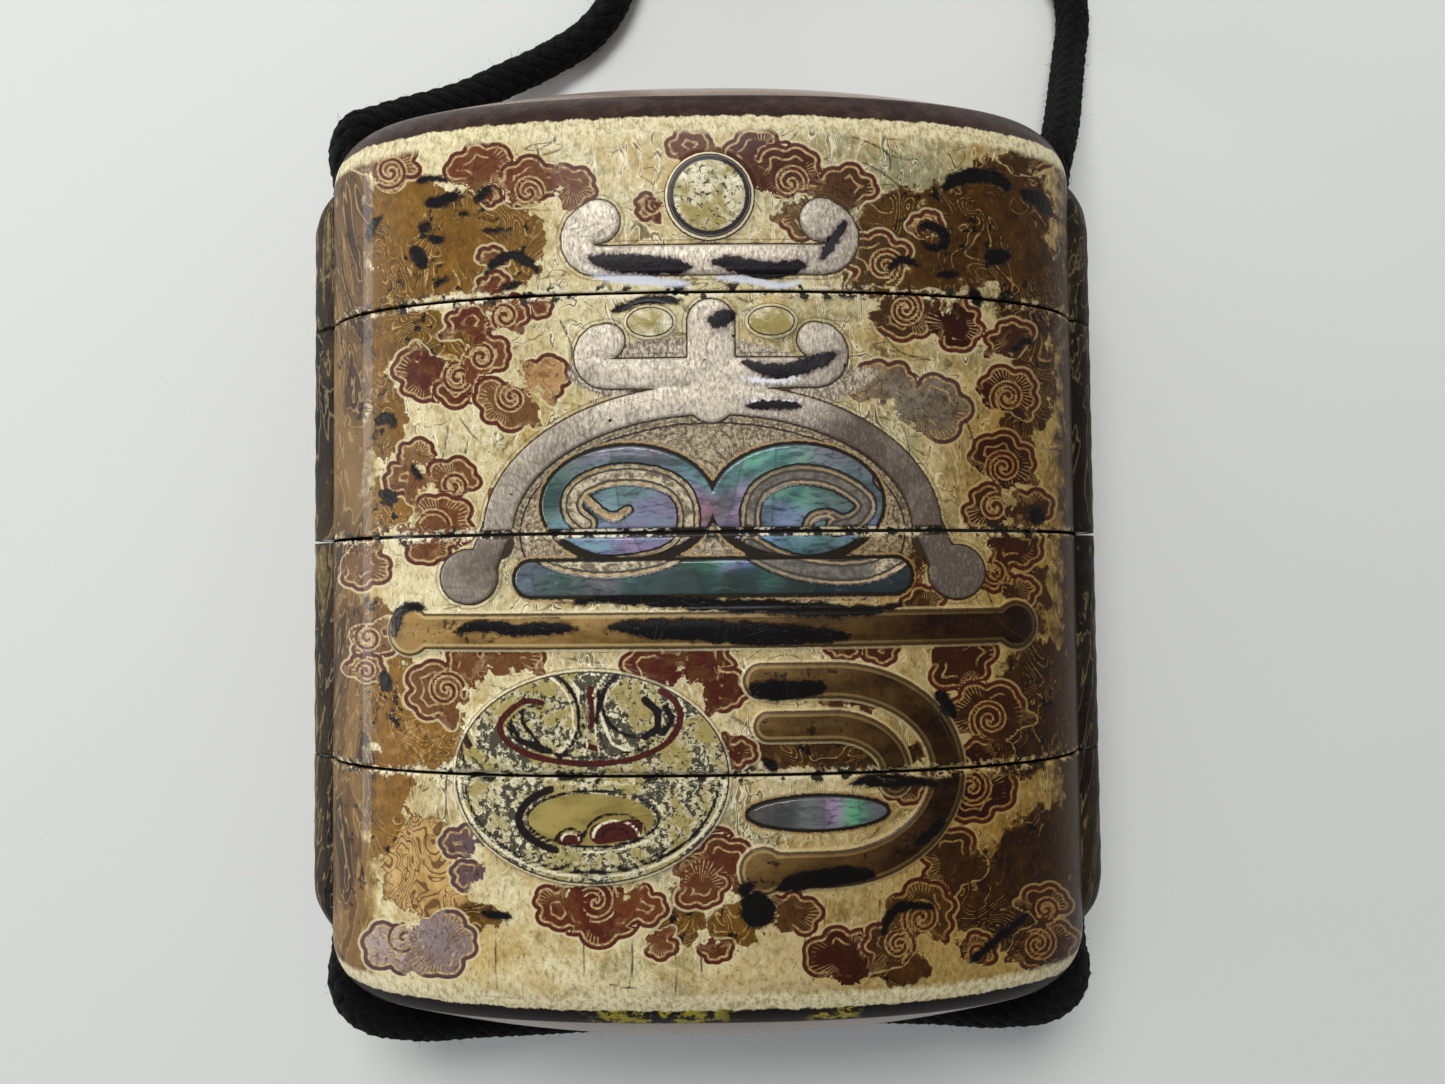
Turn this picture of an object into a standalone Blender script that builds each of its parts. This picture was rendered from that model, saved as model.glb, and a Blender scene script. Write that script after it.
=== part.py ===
"""Inro case of three compartments and a lid, laid on its back with the front up.

Metres. X runs across the front, Y from the base to the lid, Z up out of the front.
The origin is the middle of the case on the surface that it lies on.
"""

import math

import bmesh
import bpy

# Body
BODY_WIDTH = 0.0600
BODY_DEPTH = 0.0270
ROUNDNESS = 2.35
BACK_FLAT = 0.0003
LID_HEIGHT = 0.0191
CASE_HEIGHT = 0.0171
LOWER_HEIGHT = 0.0219
SEAM_GAP = 0.0003

# Ends of the lid and of the lower case
SHOULDER_RADIUS = 0.0050
SHOULDER_TURN = math.radians(56)
DOME_RISE = 0.0040
CROWN_SHARE = 0.12
END_WALL = 0.0036
INNER_CORNER = 0.0030

# Joints between the sections
FRONT_WALL = 0.0012
RISER_WALL = 0.0010
RISER_HEIGHT = 0.0045
FLOOR = 0.0012
FIT = 0.0003

# Cord and its channels
CORD_DIAMETER = 0.0030
CORD_PLAY = 0.0003
CHANNEL_OUTER_WALL = 0.0010
CHANNEL_INNER_WALL = 0.0006
RUNNER_PROUD = 0.0020
RUNNER_WIDTH = 0.0078
RUNNER_ROOT = 0.0008
RUNNER_TAPER = 0.0052
RUNNER_TO_CROWN = 0.0061
RUNNER_TO_BASE = 0.0066

# Ornament
CREST_X = 0.0008
RELIEF = 0.00035
BOSS_ROOT = 0.0006
PEWTER_PROUD = 0.0003
NACRE_PROUD = 0.0001
INLAY_ROOT = 0.0002
INLAY_FIT = 0.0003
SEAM_MARGIN = 0.00025
STROKE = 0.0022
BRACKET_RAISE = 0.0023
BRACKET_WIDTH = 0.0160
BRACKET_HOOK = 0.0016
JEWEL_RAISE = 0.0068
JEWEL_WIDTH = 0.0060
ARCH_WIDTH = 0.0308
ARCH_HEIGHT = 0.0094
TRUNK_WIDTH = 0.0034
TRUNK_DROP = 0.0022
ARMS_DROP = 0.0058
ARMS_WIDTH = 0.0148
ARMS_HOOK = 0.0013
PETAL_LENGTH = 0.0034
PETAL_DROP = 0.0022
LOBES_WIDTH = 0.0248
LOBES_HEIGHT = 0.0084
FOOT_DROP = 0.0030
FOOT_WIDTH = 0.0044
STRIP_DROP = 0.0032
STRIP_LENGTH = 0.0284
STRIP_WIDTH = 0.0026
BAR_DROP = 0.0069
BAR_LENGTH = 0.0444
MEDALLION_WIDTH = 0.0196
MEDALLION_HEIGHT = 0.0148
LEFT_MEDALLION_X = -0.0080
RIGHT_MEDALLION_X = 0.0080
OVAL_DROP = 0.0027
OVAL_LENGTH = 0.0100
OVAL_WIDTH = 0.0024

# Coil of the cord past the lid
COIL_X = 0.0120
COIL_Y = 0.0840
COIL_ACROSS = 0.0330
COIL_STRANDS = 2
COIL_PLAY = 0.0002
KNOT_LENGTH = 0.0105
KNOT_WIDTH = 0.0085
KNOT_HEIGHT = 0.0062
KNOT_TURN = math.radians(-150)
KNOT_GAP = 0.0003

# Fineness of the faceted solids
OUTLINE_SIDES = 40
CHANNEL_SIDES = 16
CORD_STEP = 2.0

HALF_WIDTH = BODY_WIDTH / 2
HALF_DEPTH = BODY_DEPTH / 2
BODY_HEIGHT = LID_HEIGHT + 2 * CASE_HEIGHT + LOWER_HEIGHT
MIDPLANE = HALF_DEPTH - BACK_FLAT
CROWN_Y = BODY_HEIGHT / 2
BASE_Y = -CROWN_Y
LID_SEAM = CROWN_Y - LID_HEIGHT
UPPER_SEAM = LID_SEAM - CASE_HEIGHT
LOWER_SEAM = UPPER_SEAM - CASE_HEIGHT
CHANNEL_RADIUS = CORD_DIAMETER / 2 + CORD_PLAY
CHANNEL_X = HALF_WIDTH + RUNNER_PROUD - CHANNEL_OUTER_WALL - CHANNEL_RADIUS
SIDE_WALL = HALF_WIDTH - CHANNEL_X + CHANNEL_RADIUS + CHANNEL_INNER_WALL
RECESS_DEPTH = RISER_HEIGHT + FIT
END_HEIGHT = SHOULDER_RADIUS * math.sin(SHOULDER_TURN) + DOME_RISE

SECTION_SPANS = {
    "lid": (LID_SEAM + SEAM_GAP / 2, CROWN_Y),
    "upper_case": (UPPER_SEAM + SEAM_GAP / 2, LID_SEAM - SEAM_GAP / 2),
    "middle_case": (LOWER_SEAM + SEAM_GAP / 2, UPPER_SEAM - SEAM_GAP / 2),
    "lower_case": (BASE_Y, LOWER_SEAM - SEAM_GAP / 2),
}

# The cord's route, chosen by hand. Each strand starts half way down its channel.
LEFT_ROUTE = [
    (-0.0292, 0.0002, 0.0132),
    (-0.0292, 0.0100, 0.0132),
    (-0.0292, 0.0200, 0.0132),
    (-0.0292, 0.0280, 0.0132),
    (-0.0293, 0.0314, 0.0132),
    (-0.0297, 0.0342, 0.0131),
    (-0.0292, 0.0363, 0.0124),
    (-0.0278, 0.0376, 0.0109),
    (-0.0260, 0.0391, 0.0091),
    (-0.0240, 0.0406, 0.0072),
    (-0.0218, 0.0423, 0.0052),
    (-0.0185, 0.0449, 0.0032),
    (-0.0145, 0.0475, 0.0019),
    (-0.0104, 0.0504, 0.0016),
    (-0.0080, 0.0540, 0.0016),
    (-0.0067, 0.0600, 0.0016),
    (-0.0062, 0.0665, 0.0016),
    (-0.0061, 0.0728, 0.0016),
]
RIGHT_ROUTE = [
    (0.0292, 0.0002, 0.0132),
    (0.0292, 0.0100, 0.0132),
    (0.0292, 0.0200, 0.0132),
    (0.0292, 0.0280, 0.0132),
    (0.0293, 0.0312, 0.0132),
    (0.0299, 0.0337, 0.0129),
    (0.0309, 0.0364, 0.0112),
    (0.0321, 0.0396, 0.0084),
    (0.0334, 0.0432, 0.0052),
    (0.0346, 0.0472, 0.0026),
    (0.0353, 0.0510, 0.0016),
    (0.0346, 0.0552, 0.0016),
    (0.0322, 0.0584, 0.0016),
    (0.0280, 0.0598, 0.0016),
    (0.0200, 0.0598, 0.0016),
    (0.0100, 0.0586, 0.0016),
    (0.0030, 0.0588, 0.0016),
    (-0.0014, 0.0612, 0.0016),
    (-0.0027, 0.0648, 0.0016),
    (-0.0029, 0.0692, 0.0016),
]
BASE_ROUTE = [
    (-0.0292, -0.0002, 0.0132),
    (-0.0292, -0.0100, 0.0132),
    (-0.0292, -0.0200, 0.0132),
    (-0.0292, -0.0280, 0.0132),
    (-0.0293, -0.0316, 0.0132),
    (-0.0296, -0.0346, 0.0131),
    (-0.0285, -0.0370, 0.0125),
    (-0.0250, -0.0386, 0.0111),
    (-0.0196, -0.0393, 0.0090),
    (-0.0110, -0.0399, 0.0066),
    (0.0000, -0.0399, 0.0050),
    (0.0110, -0.0397, 0.0057),
    (0.0190, -0.0391, 0.0077),
    (0.0250, -0.0384, 0.0102),
    (0.0285, -0.0369, 0.0121),
    (0.0296, -0.0346, 0.0131),
    (0.0293, -0.0316, 0.0132),
    (0.0292, -0.0280, 0.0132),
    (0.0292, -0.0200, 0.0132),
    (0.0292, -0.0100, 0.0132),
    (0.0292, -0.0002, 0.0132),
]


def clear_scene():
    """Remove every object, so that the script can run again in the same file."""
    for obj in list(bpy.data.objects):
        bpy.data.objects.remove(obj)


def new_collection(name):
    collection = bpy.data.collections.get(name) or bpy.data.collections.new(name)
    if name not in bpy.context.scene.collection.children:
        bpy.context.scene.collection.children.link(collection)
    return collection


def new_material(name, colour, roughness, metallic=0.0):
    """A Principled material of one colour, roughness and metallic value."""
    material = bpy.data.materials.new(name)
    material.use_nodes = True
    shader = material.node_tree.nodes["Principled BSDF"]
    shader.inputs["Base Color"].default_value = (*colour, 1.0)
    shader.inputs["Roughness"].default_value = roughness
    shader.inputs["Metallic"].default_value = metallic
    material.diffuse_color = (*colour, 1.0)
    return material


def add_object(bm, name, collection, material=None):
    """Turn a bmesh into an object of this name, with its faces pointing out."""
    bmesh.ops.recalc_face_normals(bm, faces=bm.faces)
    if bm.calc_volume(signed=True) < 0:
        bmesh.ops.reverse_faces(bm, faces=bm.faces)
    mesh = bpy.data.meshes.new(name)
    bm.to_mesh(mesh)
    bm.free()
    obj = bpy.data.objects.new(name, mesh)
    collection.objects.link(obj)
    if material is None:
        obj.hide_render = True
        obj.display_type = "WIRE"
    else:
        mesh.materials.append(material)
        mesh.shade_smooth()
        mesh.set_sharp_from_angle(angle=math.radians(30))
    return obj


def combine(obj, other, operation):
    """Join, cut or intersect an object with another by a Boolean modifier."""
    modifier = obj.modifiers.new(f"{operation.title()} {other.name}", "BOOLEAN")
    modifier.object = other
    modifier.operation = operation
    modifier.solver = "EXACT"
    modifier.use_self = True


def extrude_chain(bm, rings):
    """Extrude a face from ring to ring. Each ring is a list of points in the same order."""
    first = face = bm.faces.new([bm.verts.new(point) for point in rings[0]])
    for ring in rings[1:]:
        made = bmesh.ops.extrude_face_region(bm, geom=[face])["geom"]
        if face != first:
            bm.faces.remove(face)
        face = next(item for item in made if isinstance(item, bmesh.types.BMFace))
        for vert, point in zip(face.verts, ring):
            vert.co = point


def body_ring(side, depth, y, share=1.0):
    """The body's cross-section at y, set in by side and depth, then shrunk to a share."""
    ring = []
    for step in range(OUTLINE_SIDES):
        angle = 2 * math.pi * step / OUTLINE_SIDES
        across = math.copysign(abs(math.cos(angle)) ** (2 / ROUNDNESS), math.cos(angle))
        up = math.copysign(abs(math.sin(angle)) ** (2 / ROUNDNESS), math.sin(angle))
        x = (HALF_WIDTH - side) * across
        z = max(MIDPLANE + (HALF_DEPTH - depth) * up, depth)
        ring.append((x * share, y, MIDPLANE + (z - MIDPLANE) * share))
    return ring


def end_rings(end_y, towards):
    """Rings from the middle of a domed end out to the wall. Towards is 1 at the lid."""
    rings = []
    inset = SHOULDER_RADIUS * (1 - math.cos(SHOULDER_TURN))
    for share in (CROWN_SHARE, 0.4, 0.62, 0.82):
        fall = DOME_RISE * (share**2 - CROWN_SHARE**2) / (1 - CROWN_SHARE**2)
        rings.append(body_ring(inset, inset, end_y - towards * fall, share))
    shoulder_y = end_y - towards * END_HEIGHT
    for step in (4, 3, 2, 1, 0):
        angle = SHOULDER_TURN * step / 4
        inset = SHOULDER_RADIUS * (1 - math.cos(angle))
        rings.append(body_ring(inset, inset, shoulder_y + towards * SHOULDER_RADIUS * math.sin(angle)))
    return rings


def riser_rings(top_y, floor_y, corner=0.0):
    """Rings from a wall's top edge over the riser and down into the compartment."""
    side, depth = SIDE_WALL + FIT, FRONT_WALL + FIT
    rings = [
        body_ring(0, 0, top_y),
        body_ring(side, depth, top_y),
        body_ring(side, depth, top_y + RISER_HEIGHT),
        body_ring(side + RISER_WALL, depth + RISER_WALL, top_y + RISER_HEIGHT),
        body_ring(side + RISER_WALL, depth + RISER_WALL, floor_y + corner),
    ]
    if corner:
        inset = RISER_WALL + corner
        rings.append(body_ring(side + inset, depth + inset, floor_y))
    return rings


def lid_rings():
    low, high = SECTION_SPANS["lid"]
    ceiling = high - END_WALL
    return end_rings(high, 1) + [
        body_ring(0, 0, low),
        body_ring(SIDE_WALL, FRONT_WALL, low),
        body_ring(SIDE_WALL, FRONT_WALL, ceiling - INNER_CORNER),
        body_ring(SIDE_WALL + INNER_CORNER, FRONT_WALL + INNER_CORNER, ceiling),
    ]


def case_rings(name):
    """A middle section: recessed below for the riser under it, with a riser above."""
    low, high = SECTION_SPANS[name]
    below = [
        body_ring(SIDE_WALL, FRONT_WALL, low + RECESS_DEPTH),
        body_ring(SIDE_WALL, FRONT_WALL, low),
        body_ring(0, 0, low),
    ]
    return below + riser_rings(high, low + RECESS_DEPTH + FLOOR)


def lower_rings():
    low, high = SECTION_SPANS["lower_case"]
    return end_rings(low, -1) + riser_rings(high, low + END_WALL, INNER_CORNER)


def runner_ring(y, sign, share):
    """The D-shaped cross-section of a cord runner, its flat side inside the wall."""
    root_x = HALF_WIDTH - SIDE_WALL + RUNNER_ROOT
    reach = HALF_WIDTH + RUNNER_PROUD - root_x
    ring = []
    for step in range(11):
        angle = math.pi * (step / 10 - 0.5)
        x = root_x + reach * math.cos(angle) * share
        ring.append((sign * x, y, MIDPLANE + RUNNER_WIDTH / 2 * math.sin(angle) * share))
    return ring


def add_runners(name, helpers):
    """Both cord runners along one section, rounded off towards the lid's top and the base."""
    low, high = SECTION_SPANS[name]
    first, last = BASE_Y + RUNNER_TO_BASE, CROWN_Y - RUNNER_TO_CROWN
    low, high = max(low, first), min(high, last)
    full_low = low if low > first else low + RUNNER_TAPER
    full_high = high if high < last else high - RUNNER_TAPER
    stops = [low + (full_low - low) * (1 - math.cos(math.radians(turn))) for turn in (12, 35, 60)]
    stops = [] if full_low == low else stops
    stops += [full_low, full_high]
    if full_high < high:
        stops += [high - (high - full_high) * (1 - math.cos(math.radians(turn))) for turn in (60, 35, 12)]
    bm = bmesh.new()
    for sign in (-1, 1):
        rings = []
        for y in stops:
            past = max(full_low - y, y - full_high, 0.0) / RUNNER_TAPER
            rings.append(runner_ring(y, sign, math.sqrt(max(1 - past**2, 0.0))))
        extrude_chain(bm, rings)
    return add_object(bm, f"{name}_runners", helpers)


def add_channels(name, helpers):
    """Both cord channels, right through one section."""
    low, high = SECTION_SPANS[name]
    bm = bmesh.new()
    for sign in (-1, 1):
        made = bmesh.ops.create_cone(
            bm,
            cap_ends=True,
            segments=CHANNEL_SIDES,
            radius1=CHANNEL_RADIUS,
            radius2=CHANNEL_RADIUS,
            depth=high - low + CORD_DIAMETER,
        )
        for vert in made["verts"]:
            x, y, z = vert.co
            vert.co = (sign * CHANNEL_X + x, (low + high) / 2 - z, MIDPLANE + y)
    return add_object(bm, f"{name}_channels", helpers)


def add_block(name, inset, span, helpers):
    """A solid of the body's own section, grown or shrunk, between two heights."""
    bm = bmesh.new()
    extrude_chain(bm, [body_ring(inset, inset, span[0]), body_ring(inset, inset, span[1])])
    return add_object(bm, name, helpers)


def arc(centre, across, along, start, stop, steps):
    """Points on an ellipse's arc, from one angle to another in degrees."""
    points = []
    for step in range(steps + 1):
        angle = math.radians(start + (stop - start) * step / steps)
        points.append((centre[0] + across * math.cos(angle), centre[1] + along * math.sin(angle)))
    return points


def oval(centre, across, along, steps=20):
    return arc(centre, across, along, 0, 360, steps)[:-1]


def stroke(path, width):
    """The outline of a band of this width along a path, with round ends."""
    left, right = [], []
    for index, (x, y) in enumerate(path):
        before, after = path[max(index - 1, 0)], path[min(index + 1, len(path) - 1)]
        heading = math.atan2(after[1] - before[1], after[0] - before[0])
        dx, dy = -math.sin(heading) * width / 2, math.cos(heading) * width / 2
        left.append((x + dx, y + dy))
        right.append((x - dx, y - dy))
        if index == 0:
            start_turn = math.degrees(heading)
    end_turn = math.degrees(heading)
    tip = arc(path[-1], width / 2, width / 2, end_turn + 90, end_turn - 90, 6)[1:-1]
    tail = arc(path[0], width / 2, width / 2, start_turn + 270, start_turn + 90, 6)[1:-1]
    return left + tip + right[::-1] + tail


def hooked_bar(y, half_length, hook, grow):
    """A bar with both ends curled up into round knobs."""
    centre = y + hook
    right = arc((CREST_X + half_length, centre), hook, hook, -90, 60, 5)
    left = [(2 * CREST_X - x, height) for x, height in reversed(right)]
    shapes = [stroke(left + right, STROKE + 2 * grow)]
    for sign in (-1, 1):
        shapes.append(oval((CREST_X + sign * half_length, centre + hook * 0.8), hook + grow, hook + grow, 12))
    return shapes


def lid_bracket(grow):
    return hooked_bar(LID_SEAM + BRACKET_RAISE, BRACKET_WIDTH / 2, BRACKET_HOOK, grow)


def crest_arch(grow):
    """The arch, its trunk and the hooked arms, as one pewter inlay."""
    arch = arc((CREST_X, UPPER_SEAM), ARCH_WIDTH / 2, ARCH_HEIGHT, -4, 184, 20)
    trunk = [(CREST_X, UPPER_SEAM + ARCH_HEIGHT), (CREST_X, LID_SEAM - TRUNK_DROP)]
    shapes = [stroke(arch, STROKE + 2 * grow), stroke(trunk, TRUNK_WIDTH + 2 * grow)]
    return shapes + hooked_bar(LID_SEAM - ARMS_DROP, ARMS_WIDTH / 2, ARMS_HOOK, grow)


def foot(sign):
    """The outline maker of one foot of the arch, below the seam."""

    def shapes(grow):
        top = (CREST_X + sign * ARCH_WIDTH / 2, UPPER_SEAM + STROKE / 4)
        heel = (top[0] + sign * FOOT_WIDTH / 2, UPPER_SEAM - FOOT_DROP)
        ankle = (top[0] + sign * FOOT_WIDTH / 4, UPPER_SEAM - FOOT_DROP * 0.7)
        sole = oval(heel, FOOT_WIDTH / 2 + grow, FOOT_WIDTH * 0.45 + grow, 14)
        return [stroke([top, ankle], STROKE + 2 * grow), sole]

    return shapes


def double_lobe(grow):
    across, along = LOBES_WIDTH / 4, LOBES_HEIGHT / 2
    return [
        oval((CREST_X + sign * across * 0.97, UPPER_SEAM + along * 0.48), across + grow, along + grow, 22)
        for sign in (-1, 1)
    ]


def nacre_strip(grow):
    y = UPPER_SEAM - STRIP_DROP
    reach = (STRIP_LENGTH - STRIP_WIDTH) / 2
    return [stroke([(CREST_X - reach, y), (CREST_X + reach, y)], STRIP_WIDTH + 2 * grow)]


def nacre_oval(grow):
    centre = (RIGHT_MEDALLION_X, LOWER_SEAM - OVAL_DROP)
    return [oval(centre, OVAL_LENGTH / 2 + grow, OVAL_WIDTH / 2 + grow, 18)]


def jewel():
    return [oval((CREST_X, LID_SEAM + JEWEL_RAISE), JEWEL_WIDTH / 2, JEWEL_WIDTH / 2, 18)]


def petals():
    reach = (TRUNK_WIDTH + PETAL_LENGTH) / 2 + INLAY_FIT * 3
    return [
        oval((CREST_X + sign * reach, LID_SEAM - PETAL_DROP), PETAL_LENGTH / 2, PETAL_LENGTH * 0.32, 12)
        for sign in (-1, 1)
    ]


def long_bar():
    """The bar with a knob at each end, across the middle case."""
    y = UPPER_SEAM - BAR_DROP
    ends = [(CREST_X - BAR_LENGTH / 2, y), (CREST_X + BAR_LENGTH / 2, y)]
    return [stroke(ends, STROKE)] + [oval(end, STROKE * 0.73, STROKE * 0.73, 12) for end in ends]


def left_medallion():
    return [oval((LEFT_MEDALLION_X, LOWER_SEAM), MEDALLION_WIDTH / 2, MEDALLION_HEIGHT / 2, 26)]


def right_medallion():
    """A C-shaped band with a second one inside it, open to the left."""
    across, along = MEDALLION_WIDTH / 2, MEDALLION_HEIGHT / 2
    middle = (RIGHT_MEDALLION_X + across * 0.1, LOWER_SEAM)
    outer = arc(middle, across * 0.86, along * 0.89, 90, -90, 14)
    outer = [(middle[0] - across * 0.5, outer[0][1])] + outer + [(middle[0] - across * 0.5, outer[-1][1])]
    inner = arc(middle, across * 0.47, along * 0.46, 90, -10, 8)
    inner = [(middle[0] - across * 0.45, inner[0][1])] + inner
    knob = oval(outer[-1], STROKE * 0.68, STROKE * 0.68, 10)
    return [stroke(outer, STROKE), stroke(inner, STROKE * 0.82), knob]


PEWTER = ((0.25, 0.21, 0.17), 0.42, 0.85)
NACRE = ((0.35, 0.42, 0.46), 0.18, 0.0)

# Inlaid pieces: name, the section that holds it, its outlines, how proud it is, its finish
INLAYS = [
    ("lid_pewter_bracket", "lid", lid_bracket, PEWTER_PROUD, PEWTER),
    ("pewter_arch", "upper_case", crest_arch, PEWTER_PROUD, PEWTER),
    ("pewter_foot_left", "middle_case", foot(-1), PEWTER_PROUD, PEWTER),
    ("pewter_foot_right", "middle_case", foot(1), PEWTER_PROUD, PEWTER),
    ("nacre_double_lobe", "upper_case", double_lobe, NACRE_PROUD, NACRE),
    ("nacre_strip", "middle_case", nacre_strip, NACRE_PROUD, NACRE),
    ("nacre_oval", "lower_case", nacre_oval, NACRE_PROUD, NACRE),
]

# Raised lacquer of one piece with each section
BOSSES = {
    "lid": [jewel],
    "upper_case": [petals],
    "middle_case": [long_bar, left_medallion, right_medallion],
    "lower_case": [left_medallion, right_medallion],
}


def add_prisms(name, shapes, helpers):
    """Upright prisms from outlines on the front, from the midplane to above the surface."""
    bm = bmesh.new()
    for shape in shapes:
        extrude_chain(bm, [[(x, y, z) for x, y in shape] for z in (MIDPLANE, BODY_DEPTH + RELIEF * 4)])
    return add_object(bm, name, helpers)


def add_bosses(name, helpers):
    """The raised lacquer of a section, following its curved front."""
    span = (SECTION_SPANS[name][0] + SEAM_MARGIN, SECTION_SPANS[name][1] - SEAM_MARGIN)
    shapes = [shape for outline in BOSSES[name] for shape in outline()]
    bosses = add_prisms(f"{name}_bosses", shapes, helpers)
    combine(bosses, add_block(f"{name}_boss_top", -RELIEF, span, helpers), "INTERSECT")
    combine(bosses, add_block(f"{name}_boss_root", BOSS_ROOT, (BASE_Y, CROWN_Y), helpers), "DIFFERENCE")
    return bosses


def add_pockets(name, helpers):
    """The pockets in a section that its inlays are set in."""
    shapes = [
        shape
        for _, section, outline, _, _ in INLAYS
        if section == name
        for shape in outline(INLAY_FIT)
    ]
    pockets = add_prisms(f"{name}_pockets", shapes, helpers)
    depth = INLAY_ROOT + INLAY_FIT
    combine(pockets, add_block(f"{name}_pocket_floor", depth, (BASE_Y, CROWN_Y), helpers), "DIFFERENCE")
    return pockets


def add_section(name, rings, parts, helpers, lacquer):
    bm = bmesh.new()
    extrude_chain(bm, rings)
    section = add_object(bm, name, parts, lacquer)
    combine(section, add_runners(name, helpers), "UNION")
    combine(section, add_bosses(name, helpers), "UNION")
    combine(section, add_channels(name, helpers), "DIFFERENCE")
    combine(section, add_pockets(name, helpers), "DIFFERENCE")


def add_inlay(inlay, parts, helpers):
    """A thin plate that follows the curved front and stops short of the seam."""
    name, section, outline, proud, finish = inlay
    span = (SECTION_SPANS[section][0] + SEAM_MARGIN, SECTION_SPANS[section][1] - SEAM_MARGIN)
    bm = bmesh.new()
    for shape in outline(0.0):
        extrude_chain(bm, [[(x, y, z) for x, y in shape] for z in (MIDPLANE, BODY_DEPTH + RELIEF * 4)])
    plate = add_object(bm, name, parts, new_material(name, *finish))
    combine(plate, add_block(f"{name}_top", -proud, span, helpers), "INTERSECT")
    combine(plate, add_block(f"{name}_root", INLAY_ROOT, (BASE_Y, CROWN_Y), helpers), "DIFFERENCE")


def smooth_points(route, spacing):
    """Points about this far apart on a smooth curve through the route's own points."""
    guide = bpy.data.curves.new("route_guide", "CURVE")
    guide.dimensions = "3D"
    guide.resolution_u = 24
    spline = guide.splines.new("BEZIER")
    spline.bezier_points.add(len(route) - 1)
    for point, place in zip(spline.bezier_points, route):
        point.co = place
        point.handle_left_type = point.handle_right_type = "AUTO"
    obj = bpy.data.objects.new("route_guide", guide)
    bpy.context.scene.collection.objects.link(obj)
    bpy.context.view_layer.update()
    fine = [vert.co.copy() for vert in obj.to_mesh().vertices]
    obj.to_mesh_clear()
    bpy.data.objects.remove(obj)
    travelled = [0.0]
    for start, stop in zip(fine, fine[1:]):
        travelled.append(travelled[-1] + (stop - start).length)
    pieces = max(round(travelled[-1] / spacing), 1)
    points, index = [], 0
    for piece in range(pieces + 1):
        place = travelled[-1] * piece / pieces
        while index < len(fine) - 2 and travelled[index + 1] < place:
            index += 1
        share = (place - travelled[index]) / (travelled[index + 1] - travelled[index])
        points.append(fine[index].lerp(fine[index + 1], share))
    return points


def add_cord(name, route, parts, material):
    """A stretch of the cord as a tube along its route."""
    points = smooth_points(route, CORD_STEP * CORD_DIAMETER)
    curve = bpy.data.curves.new(name, "CURVE")
    curve.dimensions = "3D"
    curve.bevel_depth = CORD_DIAMETER / 2
    curve.bevel_resolution = 2
    curve.use_fill_caps = True
    spline = curve.splines.new("POLY")
    spline.points.add(len(points) - 1)
    for target, point in zip(spline.points, points):
        target.co = (*point, 1.0)
    curve.materials.append(material)
    parts.objects.link(bpy.data.objects.new(name, curve))


def coil_half_width():
    return COIL_STRANDS * CORD_DIAMETER / 2 + COIL_PLAY


def add_coil(parts, material):
    """The outer shape of the coil that both strands make side by side, as a turned ring."""
    half = coil_half_width()
    height = CORD_DIAMETER + COIL_PLAY
    corner = CORD_DIAMETER / 4
    middle = COIL_ACROSS / 2
    profile = [
        (middle + half - corner, height),
        (middle + half, height - corner),
        (middle + half, corner),
        (middle + half - corner, 0.0),
        (middle - half + corner, 0.0),
        (middle - half, corner),
        (middle - half, height - corner),
        (middle - half + corner, height),
    ]
    bm = bmesh.new()
    verts = [bm.verts.new((x, 0.0, z)) for x, z in profile]
    for start, stop in zip(verts, verts[1:] + verts[:1]):
        bm.edges.new((start, stop))
    mesh = bpy.data.meshes.new("cord_coil")
    bm.to_mesh(mesh)
    bm.free()
    coil = bpy.data.objects.new("cord_coil", mesh)
    coil.location = (COIL_X, COIL_Y, 0.0)
    mesh.materials.append(material)
    parts.objects.link(coil)
    screw = coil.modifiers.new("Turn", "SCREW")
    screw.steps = screw.render_steps = 28
    screw.use_merge_vertices = True
    screw.merge_threshold = 0.00001


def add_knot(parts, material):
    """The knot that ties both strands together, against the inside of the coil."""
    bm = bmesh.new()
    bmesh.ops.create_uvsphere(bm, u_segments=12, v_segments=8, radius=0.5)
    for vert in bm.verts:
        vert.co.x *= KNOT_WIDTH
        vert.co.y *= KNOT_LENGTH
        vert.co.z *= KNOT_HEIGHT
    knot = add_object(bm, "cord_knot", parts, material)
    reach = COIL_ACROSS / 2 - coil_half_width() - KNOT_GAP - KNOT_WIDTH / 2
    x, y = COIL_X + reach * math.cos(KNOT_TURN), COIL_Y + reach * math.sin(KNOT_TURN)
    knot.location = (x, y, KNOT_HEIGHT / 2)
    knot.rotation_euler.z = KNOT_TURN


def main():
    clear_scene()
    parts = new_collection("Inro case")
    helpers = new_collection("Cutters")
    helpers.hide_render = True
    lacquer = new_material("Gold and cream lacquer", (0.42, 0.33, 0.19), 0.35)
    cord = new_material("Black braided cord", (0.02, 0.02, 0.022), 0.85)
    add_section("lid", lid_rings(), parts, helpers, lacquer)
    add_section("upper_case", case_rings("upper_case"), parts, helpers, lacquer)
    add_section("middle_case", case_rings("middle_case"), parts, helpers, lacquer)
    add_section("lower_case", lower_rings(), parts, helpers, lacquer)
    for inlay in INLAYS:
        add_inlay(inlay, parts, helpers)
    add_cord("cord_left", LEFT_ROUTE, parts, cord)
    add_cord("cord_right", RIGHT_ROUTE, parts, cord)
    add_cord("cord_base_loop", BASE_ROUTE, parts, cord)
    add_coil(parts, cord)
    add_knot(parts, cord)


main()
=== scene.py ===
import math

import bpy
import numpy as np
from mathutils import Matrix, Vector


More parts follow.
